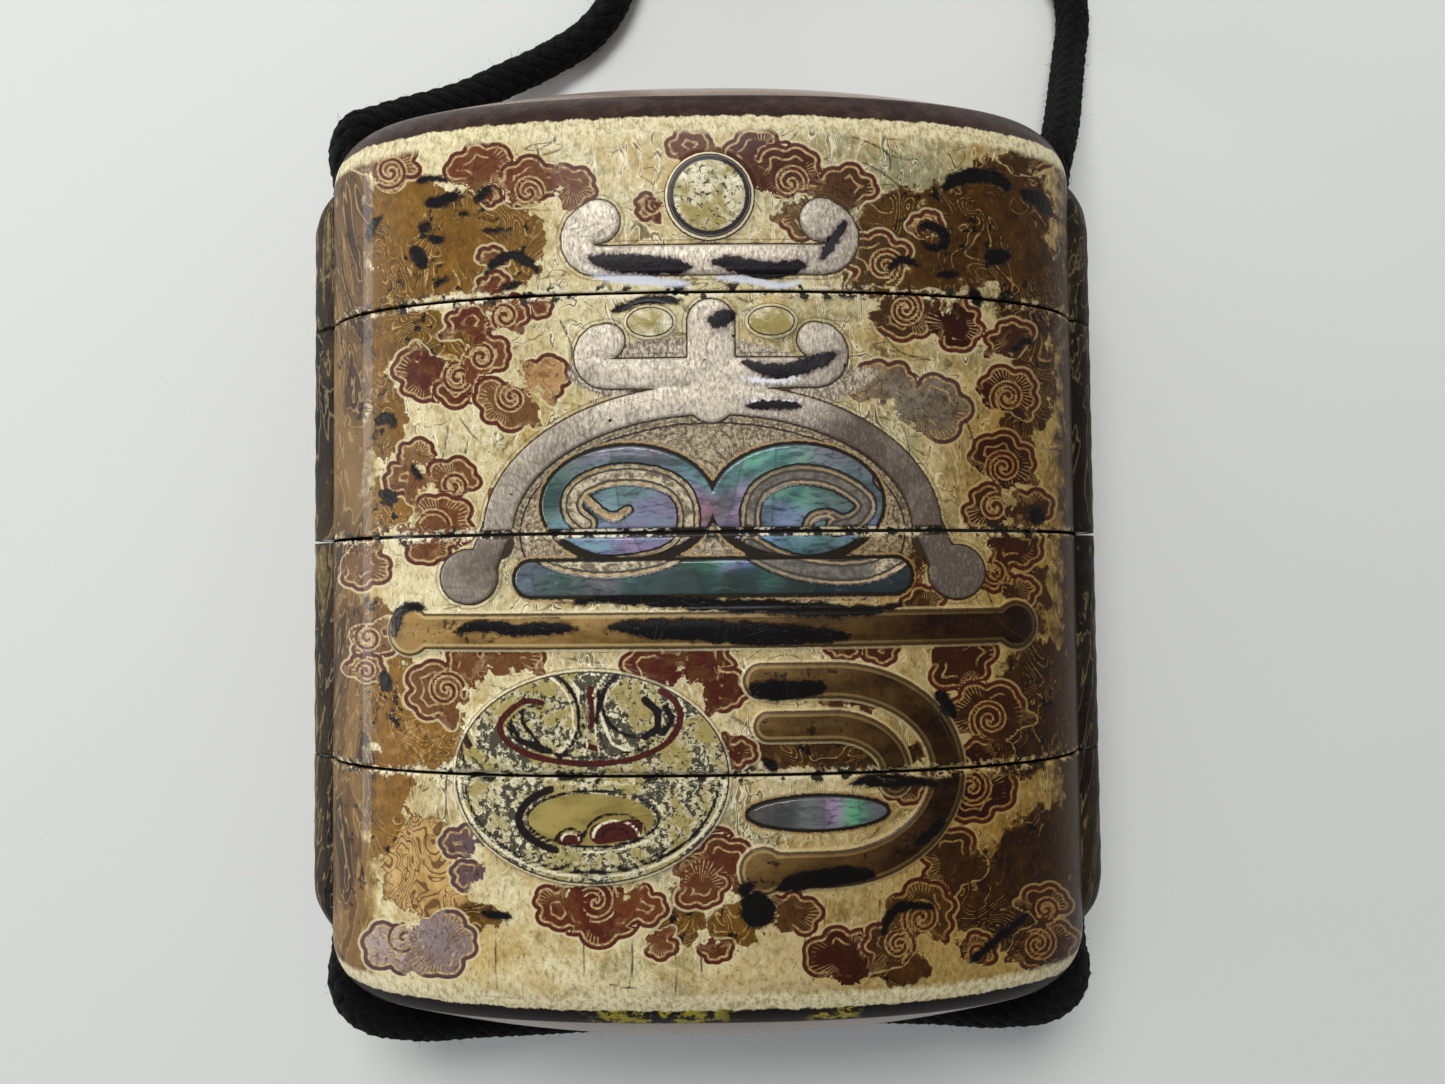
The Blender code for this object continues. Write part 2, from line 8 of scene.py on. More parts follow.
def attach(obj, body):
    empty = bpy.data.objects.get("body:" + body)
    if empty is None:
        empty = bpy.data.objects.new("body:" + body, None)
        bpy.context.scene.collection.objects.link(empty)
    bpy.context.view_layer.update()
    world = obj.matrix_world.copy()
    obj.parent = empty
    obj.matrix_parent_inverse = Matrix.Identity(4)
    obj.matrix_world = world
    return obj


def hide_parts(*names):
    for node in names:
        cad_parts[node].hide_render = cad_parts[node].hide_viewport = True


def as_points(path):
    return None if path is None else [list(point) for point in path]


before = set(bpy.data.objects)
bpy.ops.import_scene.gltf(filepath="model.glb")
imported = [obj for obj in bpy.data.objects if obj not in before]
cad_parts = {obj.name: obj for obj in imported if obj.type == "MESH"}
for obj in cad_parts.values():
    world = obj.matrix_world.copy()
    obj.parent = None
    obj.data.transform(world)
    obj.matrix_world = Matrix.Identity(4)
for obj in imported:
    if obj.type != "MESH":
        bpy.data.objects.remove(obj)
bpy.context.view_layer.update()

bl_info = {
    "name": "Inro case dressing",
    "version": (1, 0, 0),
    "blender": (4, 5, 0),
    "location": "3D View > Sidebar > Inro",
    "description": "Painted lacquer, pewter and shell inlays and a braided cord for an inro case",
    "category": "Object",
}

MM = 0.001
LEFT, RIGHT = -1, 1

# The body, as the CAD model has it, in millimetres
HALF_WIDTH, HALF_DEPTH, ROUNDNESS = 30.0, 13.5, 2.35
MIDPLANE, CROWN_Y = 13.2, 37.6
SHOULDER_RADIUS, SHOULDER_TURN, DOME_RISE, CROWN_SHARE = 5.0, math.radians(56), 4.0, 0.12
SHOULDER_Y = CROWN_Y - SHOULDER_RADIUS * math.sin(SHOULDER_TURN) - DOME_RISE
SHOULDER_TOP = SHOULDER_Y + SHOULDER_RADIUS * math.sin(SHOULDER_TURN)
LID_SEAM, UPPER_SEAM, LOWER_SEAM, HALF_GAP = 18.5, 1.4, -15.7, 0.15
CHANNEL_X, CHANNEL_RADIUS = 29.2, 1.8
RUNNER_ROOT_X, RUNNER_REACH, RUNNER_HALF = 27.6, 4.4, 3.9
RUNNER_LOW, RUNNER_HIGH, RUNNER_TAPER = -31.0, 31.5, 5.2
CREST_X = 0.8

# The skin of lacquer: how far it overhangs a section's edge, how deep it reaches into the solid,
# how low it may lie under the back's flat, and the width and depth of its rounded edges
OVERHANG, SUNK, LOWEST = 0.03, -0.3, -0.03
EDGE_WIDTH, EDGE_FALL = 0.16, 0.07

SECTIONS = {
    "lid": (LID_SEAM + HALF_GAP, CROWN_Y),
    "upper_case": (UPPER_SEAM + HALF_GAP, LID_SEAM - HALF_GAP),
    "middle_case": (LOWER_SEAM + HALF_GAP, UPPER_SEAM - HALF_GAP),
    "lower_case": (-CROWN_Y, LOWER_SEAM - HALF_GAP),
}
END_SECTIONS = ("lid", "lower_case")

# The camera of the photograph, 1445 by 1084 pixels
FRAME_WIDTH, FRAME_HEIGHT, FOCAL, SENSOR = 1445, 1084, 1085.0, 36.0
EYE = np.array([1.474, -1.94, 103.245])
EYE_TURN = Matrix.Rotation(math.radians(1.96), 4, "X") @ Matrix.Rotation(math.radians(-0.60), 4, "Z")

# The scale of the case's front in that picture, in pixels for a millimetre, and where its middle
# lies. The back, which the photograph doesn't show, is painted at the same scale.
PIXELS, PICTURE_MIDDLE = 14.2, (711, 533)

# How far painted distances are followed, in pixels: for clouds and masses, and for lines
FAR, NEAR = 60.0, 12.0

# Where the glossy brown of both sides starts: in pixels on the front, in millimetres on the back
FRONT_FLANKS, BACK_FLANK = (374, 1056), 25.5

# The cord's route, point for point as in the CAD model, in metres
LEFT_ROUTE = [
    (-0.0292, 0.0002, 0.0132), (-0.0292, 0.0100, 0.0132), (-0.0292, 0.0200, 0.0132),
    (-0.0292, 0.0280, 0.0132), (-0.0293, 0.0314, 0.0132), (-0.0297, 0.0342, 0.0131),
    (-0.0292, 0.0363, 0.0124), (-0.0278, 0.0376, 0.0109), (-0.0260, 0.0391, 0.0091),
    (-0.0240, 0.0406, 0.0072), (-0.0218, 0.0423, 0.0052), (-0.0185, 0.0449, 0.0032),
    (-0.0145, 0.0475, 0.0019), (-0.0104, 0.0504, 0.0016), (-0.0080, 0.0540, 0.0016),
    (-0.0067, 0.0600, 0.0016), (-0.0062, 0.0665, 0.0016), (-0.0061, 0.0728, 0.0016),
]
RIGHT_ROUTE = [
    (0.0292, 0.0002, 0.0132), (0.0292, 0.0100, 0.0132), (0.0292, 0.0200, 0.0132),
    (0.0292, 0.0280, 0.0132), (0.0293, 0.0312, 0.0132), (0.0299, 0.0337, 0.0129),
    (0.0309, 0.0364, 0.0112), (0.0321, 0.0396, 0.0084), (0.0334, 0.0432, 0.0052),
    (0.0346, 0.0472, 0.0026), (0.0353, 0.0510, 0.0016), (0.0346, 0.0552, 0.0016),
    (0.0322, 0.0584, 0.0016), (0.0280, 0.0598, 0.0016), (0.0200, 0.0598, 0.0016),
    (0.0100, 0.0586, 0.0016), (0.0030, 0.0588, 0.0016), (-0.0014, 0.0612, 0.0016),
    (-0.0027, 0.0648, 0.0016), (-0.0029, 0.0692, 0.0016),
]
BASE_ROUTE = [
    (-0.0292, -0.0002, 0.0132), (-0.0292, -0.0100, 0.0132), (-0.0292, -0.0200, 0.0132),
    (-0.0292, -0.0280, 0.0132), (-0.0293, -0.0316, 0.0132), (-0.0296, -0.0346, 0.0131),
    (-0.0285, -0.0370, 0.0125), (-0.0250, -0.0386, 0.0111), (-0.0196, -0.0393, 0.0090),
    (-0.0110, -0.0399, 0.0066), (0.0000, -0.0399, 0.0050), (0.0110, -0.0397, 0.0057),
    (0.0190, -0.0391, 0.0077), (0.0250, -0.0384, 0.0102), (0.0285, -0.0369, 0.0121),
    (0.0296, -0.0346, 0.0131), (0.0293, -0.0316, 0.0132), (0.0292, -0.0280, 0.0132),
    (0.0292, -0.0200, 0.0132), (0.0292, -0.0100, 0.0132), (0.0292, -0.0002, 0.0132),
]
# How high the cord's middle runs on the table, and the coil that both strands end in: its centre,
# the radius of each strand's turn, its inside less a small gap, and where the tie sits on it
CORD_Z = 0.0016
COIL_CENTRE, LEFT_COIL, RIGHT_COIL = (0.0120, 0.0840), 0.0181, 0.0149
COIL_INSIDE = 0.0133 - 0.0003
KNOT_TURN = math.radians(-150)

# Clouds on the front, in the photograph's pixels: centre, size, turn, tint, and 1 for a scroll.
# Tint runs from 0, dark red, over 1, red-brown, and 2, tan, to 3, pinkish grey.
CLOUDS = [
    (390, 166, 34, 60, 1.6, 1), (480, 170, 36, 100, 1.0, 0), (528, 186, 36, 60, 1.0, 1),
    (572, 186, 27, 20, 1.0, 0), (488, 195, 15, 0, 1.8, 1), (492, 257, 15, 90, 1.4, 0),
    (493, 284, 17, 90, 0.8, 0), (536, 305, 18, -90, 1.0, 0), (650, 207, 18, 180, 0.6, 1),
    (762, 160, 40, 120, 0.3, 0), (790, 176, 40, 60, 0.5, 1), (690, 148, 26, 110, 0.8, 0),
    (848, 190, 32, 60, 1.4, 0), (806, 216, 30, -60, 1.9, 0), (880, 262, 38, 110, 1.8, 1),
    (925, 225, 18, 90, 1.8, 1), (1030, 160, 26, 60, 1.7, 0),
    (425, 375, 34, 220, 0.2, 0), (462, 382, 32, -80, 0.4, 1), (485, 355, 28, 0, 1.1, 1),
    (470, 325, 28, 90, 0.6, 0), (505, 312, 26, 60, 0.9, 1), (508, 402, 36, 200, 1.6, 1),
    (545, 378, 28, 40, 2.4, 0), (408, 477, 26, 160, 1.5, 0), (417, 456, 22, 90, 1.9, 0),
    (453, 481, 30, 60, 1.4, 1), (438, 523, 38, 30, 1.2, 1), (362, 566, 30, -60, 1.6, 0),
    (430, 541, 30, -90, 1.3, 0), (505, 512, 26, 0, 1.8, 0),
    (910, 312, 36, -60, 1.5, 1), (955, 325, 32, -40, 0.2, 0), (885, 385, 34, 100, 2.75, 0),
    (928, 408, 44, 20, 2.9, 0), (1008, 392, 32, 60, 0.8, 1), (1010, 340, 26, 100, 1.3, 0),
    (1002, 462, 36, 80, 0.8, 1), (990, 508, 30, 160, 1.5, 1), (1028, 508, 26, 20, 1.7, 0),
    (1010, 546, 34, -40, 1.2, 0), (995, 576, 20, -90, 1.3, 1), (925, 606, 26, 90, 1.6, 0),
    (915, 564, 22, 180, 1.8, 0), (372, 640, 26, -60, 1.8, 1), (365, 668, 20, 80, 1.2, 1),
    (468, 668, 30, 110, 1.3, 0), (512, 655, 32, 80, 1.4, 0), (440, 692, 38, 170, 1.5, 1),
    (655, 668, 34, 130, 0.2, 0), (700, 662, 36, 60, 0.3, 0), (722, 690, 28, 0, 0.2, 0),
    (958, 658, 40, -60, 1.0, 0), (880, 648, 22, -90, 1.0, 0), (842, 646, 20, -90, 1.0, 0),
    (838, 700, 20, 90, 1.3, 0), (865, 702, 18, 60, 1.3, 0), (985, 715, 42, 110, 1.2, 1),
    (990, 756, 30, 200, 0.3, 0), (690, 748, 20, 0, 0.4, 0), (735, 752, 22, 0, 0.5, 0),
    (976, 792, 40, -70, 0.4, 1), (955, 862, 40, 140, 1.7, 0), (903, 786, 24, -90, 1.6, 0),
    (702, 850, 34, 110, 0.8, 1), (724, 866, 36, 60, 0.9, 0), (700, 886, 30, -60, 1.0, 0),
    (598, 908, 46, -90, 0.3, 1), (560, 905, 30, 200, 0.6, 0), (640, 905, 28, -20, 1.0, 0),
    (464, 842, 24, 160, 3.2, 0), (468, 876, 20, 160, 3.2, 0), (400, 944, 38, 200, 3.0, 1),
    (440, 944, 40, -20, 3.1, 0), (660, 944, 20, -60, 1.3, 0), (716, 950, 18, -80, 0.8, 0),
    (793, 914, 30, 20, 1.7, 0), (846, 958, 42, 110, 0.4, 0), (894, 942, 34, 120, 1.6, 1),
    (922, 912, 38, 60, 2.0, 1), (978, 950, 22, 40, 1.5, 1), (1044, 945, 36, -40, 1.3, 1),
    (1046, 905, 26, 60, 1.4, 1), (1018, 590, 20, 0, 1.5, 0),
]

# Brown painted masses on the front: centre, half width, half height, turn, lightness
MASSES = [
    (455, 244, 92, 52, 0, 0.55), (415, 218, 52, 40, 20, 0.6), (395, 285, 36, 26, 0, 0.5),
    (400, 330, 46, 34, 0, 0.5), (372, 350, 22, 60, 0, 0.55), (450, 345, 40, 20, -20, 0.5),
    (388, 424, 22, 34, 10, 0.6), (395, 500, 34, 24, -30, 0.8), (368, 545, 16, 26, 0, 0.6),
    (372, 624, 16, 26, 0, 0.7), (385, 700, 34, 44, 10, 0.75), (420, 740, 44, 26, 0, 0.9),
    (430, 715, 34, 20, 10, 0.8), (385, 780, 30, 30, 0, 0.7), (425, 868, 44, 50, -20, 1.0),
    (385, 820, 20, 40, 0, 0.8), (478, 918, 28, 9, 4, 0.3),
    (955, 235, 96, 46, 10, 0.3), (1010, 205, 40, 50, -30, 0.35), (905, 285, 60, 16, 0, 0.35),
    (1030, 290, 34, 60, 0, 0.25), (1032, 380, 22, 50, 0, 0.35), (1020, 430, 16, 30, 0, 0.35),
    (1030, 600, 16, 44, 0, 0.35), (1040, 700, 40, 60, 0, 0.15), (1015, 740, 36, 40, 0, 0.15),
    (1030, 880, 42, 78, 20, 0.1), (985, 895, 34, 40, 30, 0.2), (890, 965, 40, 18, 10, 0.3),
    (930, 790, 26, 20, 0, 0.35), (830, 752, 96, 16, 2, 0.1), (735, 925, 24, 22, 0, 0.5),
    (680, 915, 24, 30, 30, 0.4), (540, 378, 20, 12, 20, 1.0),
]

# Black worn marks, and a painted shadow under the shell strip: a path and a width
MARKS = [
    ([(418, 181), (430, 178), (446, 180)], 6), ([(426, 204), (440, 202), (452, 197), (460, 193)], 11),
    ([(476, 203), (484, 192), (492, 189)], 8), ([(414, 248), (420, 258), (424, 268)], 14),
    ([(430, 237), (440, 240)], 10), ([(420, 226), (426, 232)], 7), ([(428, 222), (430, 230)], 5),
    ([(486, 273), (498, 260), (512, 255), (526, 260), (538, 271)], 9),
    ([(370, 238), (372, 226), (382, 216)], 5), ([(434, 286), (448, 277)], 5), ([(462, 213), (468, 214)], 4),
    ([(484, 231), (496, 230), (504, 229)], 5), ([(500, 288), (520, 284)], 5),
    ([(944, 190), (954, 180), (972, 176), (994, 178), (1012, 190)], 15),
    ([(1022, 194), (1036, 198), (1048, 214)], 15),
    ([(918, 230), (930, 226), (942, 232), (944, 244), (932, 248), (922, 242)], 10),
    ([(988, 255), (1008, 258)], 16), ([(888, 270), (896, 262), (908, 260), (920, 268)], 6),
    ([(938, 275), (958, 275)], 7), ([(972, 292), (978, 302)], 12),
    ([(1012, 352), (1024, 342), (1034, 342)], 7), ([(1070, 258), (1072, 270)], 10),
    ([(588, 256), (600, 261), (640, 264), (690, 268)], 19),
    ([(712, 262), (730, 263), (770, 270), (806, 264)], 17), ([(822, 258), (836, 236), (846, 220)], 11),
    ([(612, 312), (640, 302), (682, 300)], 8), ([(712, 322), (730, 316)], 18),
    ([(742, 362), (775, 371), (805, 366), (838, 354)], 15), ([(746, 406), (770, 405), (800, 406)], 9),
    ([(382, 494), (394, 499)], 12), ([(376, 422), (388, 418), (396, 428)], 8), ([(412, 466), (420, 478)], 6),
    ([(1036, 508), (1038, 522)], 14), ([(384, 674), (388, 690)], 11),
    ([(394, 636), (398, 616), (410, 606), (424, 608)], 9), ([(748, 689), (780, 691), (826, 687)], 19),
    ([(938, 692), (946, 704), (954, 716)], 13), ([(778, 890), (800, 882), (840, 876), (874, 874)], 19),
    ([(757, 914), (759, 906)], 34), ([(742, 890), (752, 884)], 12),
    ([(912, 848), (930, 834), (944, 816)], 10), ([(970, 962), (995, 942), (1028, 914)], 9),
    ([(480, 914), (510, 917)], 7), ([(884, 936), (890, 916), (908, 906), (934, 908)], 9),
    ([(764, 760), (776, 768)], 10), ([(850, 784), (880, 780), (930, 784)], 12),
    # The two strokes on this line are painted shadow under the shell strip
    ([(590, 598), (640, 600), (760, 607), (860, 611), (905, 604)], 13), ([(575, 602), (600, 599)], 6),
    ([(455, 632), (480, 626), (520, 630), (576, 628)], 12),
    ([(610, 627), (660, 629), (760, 634), (850, 636)], 22), ([(905, 780), (940, 785)], 8),
]

# Painted reflections of the light on the lower edges beside some of them: a path and a width
PAINTED_GLINTS = [
    ([(588, 272), (606, 277), (650, 281), (690, 284)], 9),
    ([(716, 278), (750, 280), (780, 286), (804, 280)], 7), ([(740, 378), (770, 381), (800, 378)], 6),
    ([(748, 402), (800, 402)], 4)]

# Fine cracks: a path each
CRACKS = [
    [(850, 136), (872, 144), (888, 154), (891, 170)], [(862, 162), (884, 174), (904, 190)],
    [(536, 143), (539, 160), (534, 170)], [(586, 120), (600, 128), (622, 132)], [(1012, 120), (1036, 130)],
    [(450, 418), (444, 452), (438, 472)], [(460, 418), (470, 432), (480, 442)],
    [(366, 450), (378, 444), (384, 456)], [(497, 925), (496, 960), (498, 990)], [(584, 940), (585, 972)],
    [(631, 940), (633, 960), (630, 984)], [(675, 948), (677, 975), (674, 1002)], [(757, 950), (758, 976)],
    [(826, 900), (825, 922), (830, 944), (838, 952)], [(806, 935), (805, 960), (816, 984)],
    [(760, 955), (761, 990)], [(880, 900), (878, 930)], [(410, 778), (414, 800)], [(446, 776), (447, 806)],
    [(463, 778), (462, 800)], [(700, 940), (702, 972)], [(480, 996), (520, 1000)], [(610, 985), (640, 990)],
    [(930, 700), (960, 760), (962, 800)], [(976, 560), (1000, 620), (1030, 640)],
    [(560, 320), (572, 350), (566, 380)], [(880, 330), (900, 352), (930, 360)],
    [(966, 420), (976, 452), (968, 480)], [(500, 620), (560, 618)],
]
CRACK_WIDTH = 1.5


def length(name, value, text, **more):
    """A length in metres that the sidebar shows with its unit."""
    return bpy.props.FloatProperty(
        name=name, description=text, default=value, unit="LENGTH", precision=5, **more)


def tone(name, value, text):
    """A colour that the sidebar shows as a swatch."""
    return bpy.props.FloatVectorProperty(
        name=name, description=text, default=value, size=3, min=0.0, max=1.0, subtype="COLOR")


class InroLacquer(bpy.types.PropertyGroup):
    """Sizes and colours of the painted lacquer."""

    front_step: length("Front step", 0.0002, "Spacing of the mesh on the painted front")
    back_step: length("Back step", 0.0005, "Spacing of the mesh on the back")
    coat: length("Coat", 0.0001, "How far the lacquer coat stands over the CAD model's surface")
    relief: length("Relief", 0.00042, "How high the raised lacquer stands")
    cream: tone("Cream", (0.70, 0.61, 0.36), "Lightest ground")
    straw: tone("Straw", (0.44, 0.34, 0.14), "Main ground")
    moss: tone("Moss", (0.25, 0.265, 0.165), "Grey-green patches of the ground")
    ochre: tone("Ochre", (0.27, 0.130, 0.016), "Painted masses, light")
    umber: tone("Umber", (0.046, 0.019, 0.005), "Painted masses, dark")
    oxblood: tone("Oxblood", (0.085, 0.013, 0.007), "Cloud outlines and dark clouds")
    russet: tone("Russet", (0.145, 0.036, 0.014), "Red-brown clouds")
    # Black also fills the painted shadow under the shell strip
    black: tone("Black", (0.006, 0.005, 0.005), "Worn through to the black ground")


class InroInlay(bpy.types.PropertyGroup):
    """Sizes and colours of the pewter and shell inlays."""

    step: length("Step", 0.00014, "Spacing of the mesh on the inlays")
    pewter_top: length("Pewter top", 0.00034, "How far pewter stands over the body")
    nacre_top: length("Shell top", 0.00022, "How far shell stands over the body")
    pewter: tone("Pewter", (0.60, 0.53, 0.42), "Bright pewter")
    tarnish: tone("Tarnish", (0.10, 0.072, 0.055), "Dark pewter")


class InroCord(bpy.types.PropertyGroup):
    """Sizes and colour of the cord."""

    diameter: length("Diameter", 0.003, "Thickness of the braided cord")
    pitch: length("Pitch", 0.0105, "Length of one turn of a strand of the braid")
    strands: bpy.props.IntProperty(
        name="Strands", description="Strands of the braid that run each way", default=6, min=3, max=12)
    black: tone("Black", (0.0035, 0.0035, 0.004), "Colour of the cord")


class InroStage(bpy.types.PropertyGroup):
    """Floor, light and camera."""

    floor: tone("Floor", (0.74, 0.75, 0.73), "Colour of the floor")
    main: bpy.props.FloatProperty(
        name="Main light", description="Power of the light above the lid's side", default=1.5,
        subtype="POWER", unit="POWER")
    window: bpy.props.FloatProperty(
        name="Window", description="Power of the low light on the left", default=0.95, subtype="POWER",
        unit="POWER")
    sky: bpy.props.FloatProperty(name="Sky", description="Brightness of the surroundings", default=0.34)


# Mesh helpers


def deselect():
    for obj in bpy.context.selected_objects:
        obj.select_set(False)


def pick(obj):
    deselect()
    obj.select_set(True)
    bpy.context.view_layer.objects.active = obj


def wrap_grid(name, places):
    """A grid primitive whose points go to places, an array of rows by columns by 3, in millimetres."""
    rows, columns = places.shape[:2]
    deselect()
    bpy.ops.mesh.primitive_grid_add(x_subdivisions=columns - 1, y_subdivisions=rows - 1, size=1)
    obj = bpy.context.active_object
    obj.name = obj.data.name = name
    flat = np.empty(len(obj.data.vertices) * 3)
    obj.data.vertices.foreach_get("co", flat)
    flat = flat.reshape(-1, 3)
    column = np.rint((flat[:, 0] + 0.5) * (columns - 1)).astype(int)
    row = np.rint((flat[:, 1] + 0.5) * (rows - 1)).astype(int)
    obj.data.vertices.foreach_set("co", (places[row, column] * MM).ravel())
    obj.data.update()
    return obj


def close_up(obj, merge=True):
    """Merge doubled points and turn the faces outwards."""
    pick(obj)
    bpy.ops.object.mode_set(mode="EDIT")
    bpy.ops.mesh.select_all(action="SELECT")
    if merge:
        bpy.ops.mesh.remove_doubles(threshold=0.0000008)
    bpy.ops.mesh.normals_make_consistent(inside=False)
    bpy.ops.object.mode_set(mode="OBJECT")


def apply_modifiers(obj):
    pick(obj)
    for modifier in list(obj.modifiers):
        bpy.ops.object.modifier_apply(modifier=modifier.name)


def thicken(obj, thickness):
    """Make a solid of a sheet, inwards from its surface."""
    solid = obj.modifiers.new("Thickness", "SOLIDIFY")
    solid.thickness, solid.offset = thickness, -1.0
    apply_modifiers(obj)


def finish_piece(obj, material):
    obj.data.materials.clear()
    obj.data.materials.append(material)
    pick(obj)
    bpy.ops.object.shade_smooth()
    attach(obj, "root")
    deselect()


def cut_channels(obj):
    """Cut both cord channels through a coat, so that the cord comes out free."""
    for sign in (LEFT, RIGHT):
        deselect()
        bpy.ops.mesh.primitive_cylinder_add(
            vertices=40, radius=(CHANNEL_RADIUS - 0.02) * MM, depth=0.1,
            location=(sign * CHANNEL_X * MM, 0, MIDPLANE * MM), rotation=(math.pi / 2, 0, 0))
        cutter = bpy.context.active_object
        modifier = obj.modifiers.new("Channel", "BOOLEAN")
        modifier.object, modifier.operation = cutter, "DIFFERENCE"
        modifier.solver = "MANIFOLD"
        apply_modifiers(obj)
        bpy.data.objects.remove(cutter)


def points_of(obj):
    flat = np.empty(len(obj.data.vertices) * 3)
    obj.data.vertices.foreach_get("co", flat)
    return flat.reshape(-1, 3) / MM


def store(obj, name, values):
    layer = obj.data.attributes.new(name, "FLOAT", "POINT")
    layer.data.foreach_set("value", np.asarray(values, dtype=np.float32))


def store_drawn(obj, name, pixels):
    """Store distances in the photograph's pixels as millimetres."""
    store(obj, name, pixels / PIXELS)


# Distances, in whatever unit the points are given in


def to_path(points, path, reach=30.0, closed=False):
    """Distance of each point to a path, or the reach where it is further."""
    path = np.asarray(path, dtype=float)
    if closed:
        path = np.vstack([path, path[:1]])
    low, high = path.min(0) - reach, path.max(0) + reach
    near = np.all((points >= low) & (points <= high), axis=1)
    spot, best = points[near], np.full(near.sum(), reach)
    for start, stop in zip(path[:-1], path[1:]):
        span = stop - start
        share = np.clip((spot - start) @ span / max(span @ span, 1e-9), 0, 1)
        best = np.minimum(best, np.hypot(*(spot - start - share[:, None] * span).T))
    out = np.full(len(points), reach)
    out[near] = best
    return out


def to_stroke(points, path, width):
    """Distance to a stroke that swells in the middle and tapers to both ends."""
    path = np.asarray(path, dtype=float)
    spans = np.hypot(*np.diff(path, axis=0).T)
    run = 0.0
    low, high = path.min(0) - NEAR - width, path.max(0) + NEAR + width
    near = np.all((points > low) & (points < high), axis=1)
    spot, best = points[near], np.full(near.sum(), NEAR)
    for start, stop, span_length in zip(path[:-1], path[1:], spans):
        span = stop - start
        share = np.clip((spot - start) @ span / max(span @ span, 1e-9), 0, 1)
        place = (run + share * span_length) / spans.sum()
        half = width / 2 * np.sqrt(np.clip(1 - np.abs(2 * place - 1) ** 2.6, 0.02, 1))
        best = np.minimum(best, np.hypot(*(spot - start - share[:, None] * span).T) - half)
        run += span_length
    out = np.full(len(points), NEAR)
    out[near] = best
    return out


def to_strokes(points, strokes):
    """Distance to the nearest of some strokes, each a path and a width."""
    away = np.full(len(points), NEAR)
    for path, width in strokes:
        away = np.minimum(away, to_stroke(points, smooth(path), width))
    return away


def to_lines(points, lines):
    """Distance to the nearest of some even lines, each a path and a width."""
    away = np.full(len(points), NEAR)
    for path, width in lines:
        away = np.minimum(away, to_path(points, path, NEAR + width / 2) - width / 2)
    return away


def to_oval(points, centre, across, along, turn=0.0):
    """Signed distance to an oval, less than 0 inside."""
    spot = points - np.asarray(centre, dtype=float)
    if turn:
        angle = math.radians(turn)
        spot = spot @ np.array([[math.cos(angle), math.sin(angle)], [-math.sin(angle), math.cos(angle)]]).T
    ratio = np.hypot(spot[:, 0] / across, spot[:, 1] / along)
    slope = np.hypot(spot[:, 0] / across**2, spot[:, 1] / along**2)
    return ratio * (ratio - 1) / np.maximum(slope, 1e-6)


def to_ovals(points, ovals):
    """Signed distance to the nearest of some ovals."""
    return np.min([to_oval(points, *oval) for oval in ovals], axis=0)


def smooth(path, steps=5):
    """More points on a curve through the points of a path."""
    path = np.asarray(path, dtype=float)
    before, after = np.vstack([path[:1], path[:-1]]), np.vstack([path[1:], path[-1:]])
    out = []
    for number in range(len(path) - 1):
        start, stop = path[number], path[number + 1]
        rise, fall = (after[number] - before[number]) / 2, (after[number + 1] - before[number + 1]) / 2
        for share in np.linspace(0, 1, steps, endpoint=False):
            a, b = share**3, share**2
            out.append(
                (2 * a - 3 * b + 1) * start + (a - 2 * b + share) * rise + (3 * b - 2 * a) * stop + (a - b)
                * fall)
    return np.array(out + [path[-1]])


def arc(centre, across, along, start, stop, steps=24):
    """Points on part of an oval, from one angle in degrees to another."""
    angles = np.radians(np.linspace(start, stop, steps + 1))
    return [(centre[0] + across * math.cos(a), centre[1] + along * math.sin(a)) for a in angles]


def spiral(centre, size, turn, hand, turns=1.6, steps=26):
    """A scroll that winds in to its centre."""
    share = np.linspace(0, 1, steps)
    angle = math.radians(turn) + hand * share * turns * 2 * math.pi
    radius = size * (1 - share) ** 0.8 + 0.6
    return np.stack([centre[0] + radius * np.cos(angle), centre[1] + radius * np.sin(angle)], axis=1)


# The crest, in millimetres on the front, as the CAD model has it


def hooked_bar(points, y, half, hook):
    """A bar whose ends hook up into a ball."""
    centre = y + hook
    right = arc((CREST_X + half, centre), hook, hook, -90, 60, 6)
    left = [(2 * CREST_X - x, height) for x, height in reversed(right)]
    away = to_path(points, left + right) - 1.1
    for sign in (LEFT, RIGHT):
        away = np.minimum(away, to_oval(points, (CREST_X + sign * half, centre + hook * 0.8), hook, hook))
    return away


def bracket_shape(points):
    return hooked_bar(points, LID_SEAM + 2.3, 8.0, 1.6)


def arch_shape(points):
    band = to_path(points, arc((CREST_X, UPPER_SEAM), 15.4, 9.4, -4, 184, 60)) - 1.1
    trunk = to_path(points, [(CREST_X, UPPER_SEAM + 9.4), (CREST_X, LID_SEAM - 2.2)]) - 1.7
    return np.minimum(np.minimum(band, trunk), hooked_bar(points, LID_SEAM - 5.8, 7.4, 1.3))


def foot_shape(sign):
    def shape(points):
        top = (CREST_X + sign * 15.4, UPPER_SEAM + 0.55)
        ankle = (top[0] + sign * 1.1, UPPER_SEAM - 2.1)
        sole = to_oval(points, (top[0] + sign * 2.2, UPPER_SEAM - 3.0), 2.2, 1.98)
        return np.minimum(to_path(points, [top, ankle]) - 1.1, sole)

    return shape


def lobes_shape(points):
    away = [to_oval(points, (CREST_X + sign * 6.014, UPPER_SEAM + 2.016), 6.2, 4.2) for sign in (LEFT, RIGHT)]
    return np.minimum(*away)


def strip_shape(points):
    y = UPPER_SEAM - 3.2
    bar = to_path(points, [(CREST_X - 12.9, y), (CREST_X + 12.9, y)]) - 1.3
    return np.minimum(bar, lobes_shape(points) + 0.35)


def small_oval_shape(points):
    return to_oval(points, (8.0, LOWER_SEAM - 2.7), 5.0, 1.2)


def jewel_shape(points):
    return to_oval(points, (CREST_X, LID_SEAM + 6.8), 3.0, 3.0)


def petal_shape(points):
    return np.minimum(
        *[to_oval(points, (CREST_X + sign * 4.3, LID_SEAM - 2.2), 1.7, 1.088) for sign in (LEFT, RIGHT)])


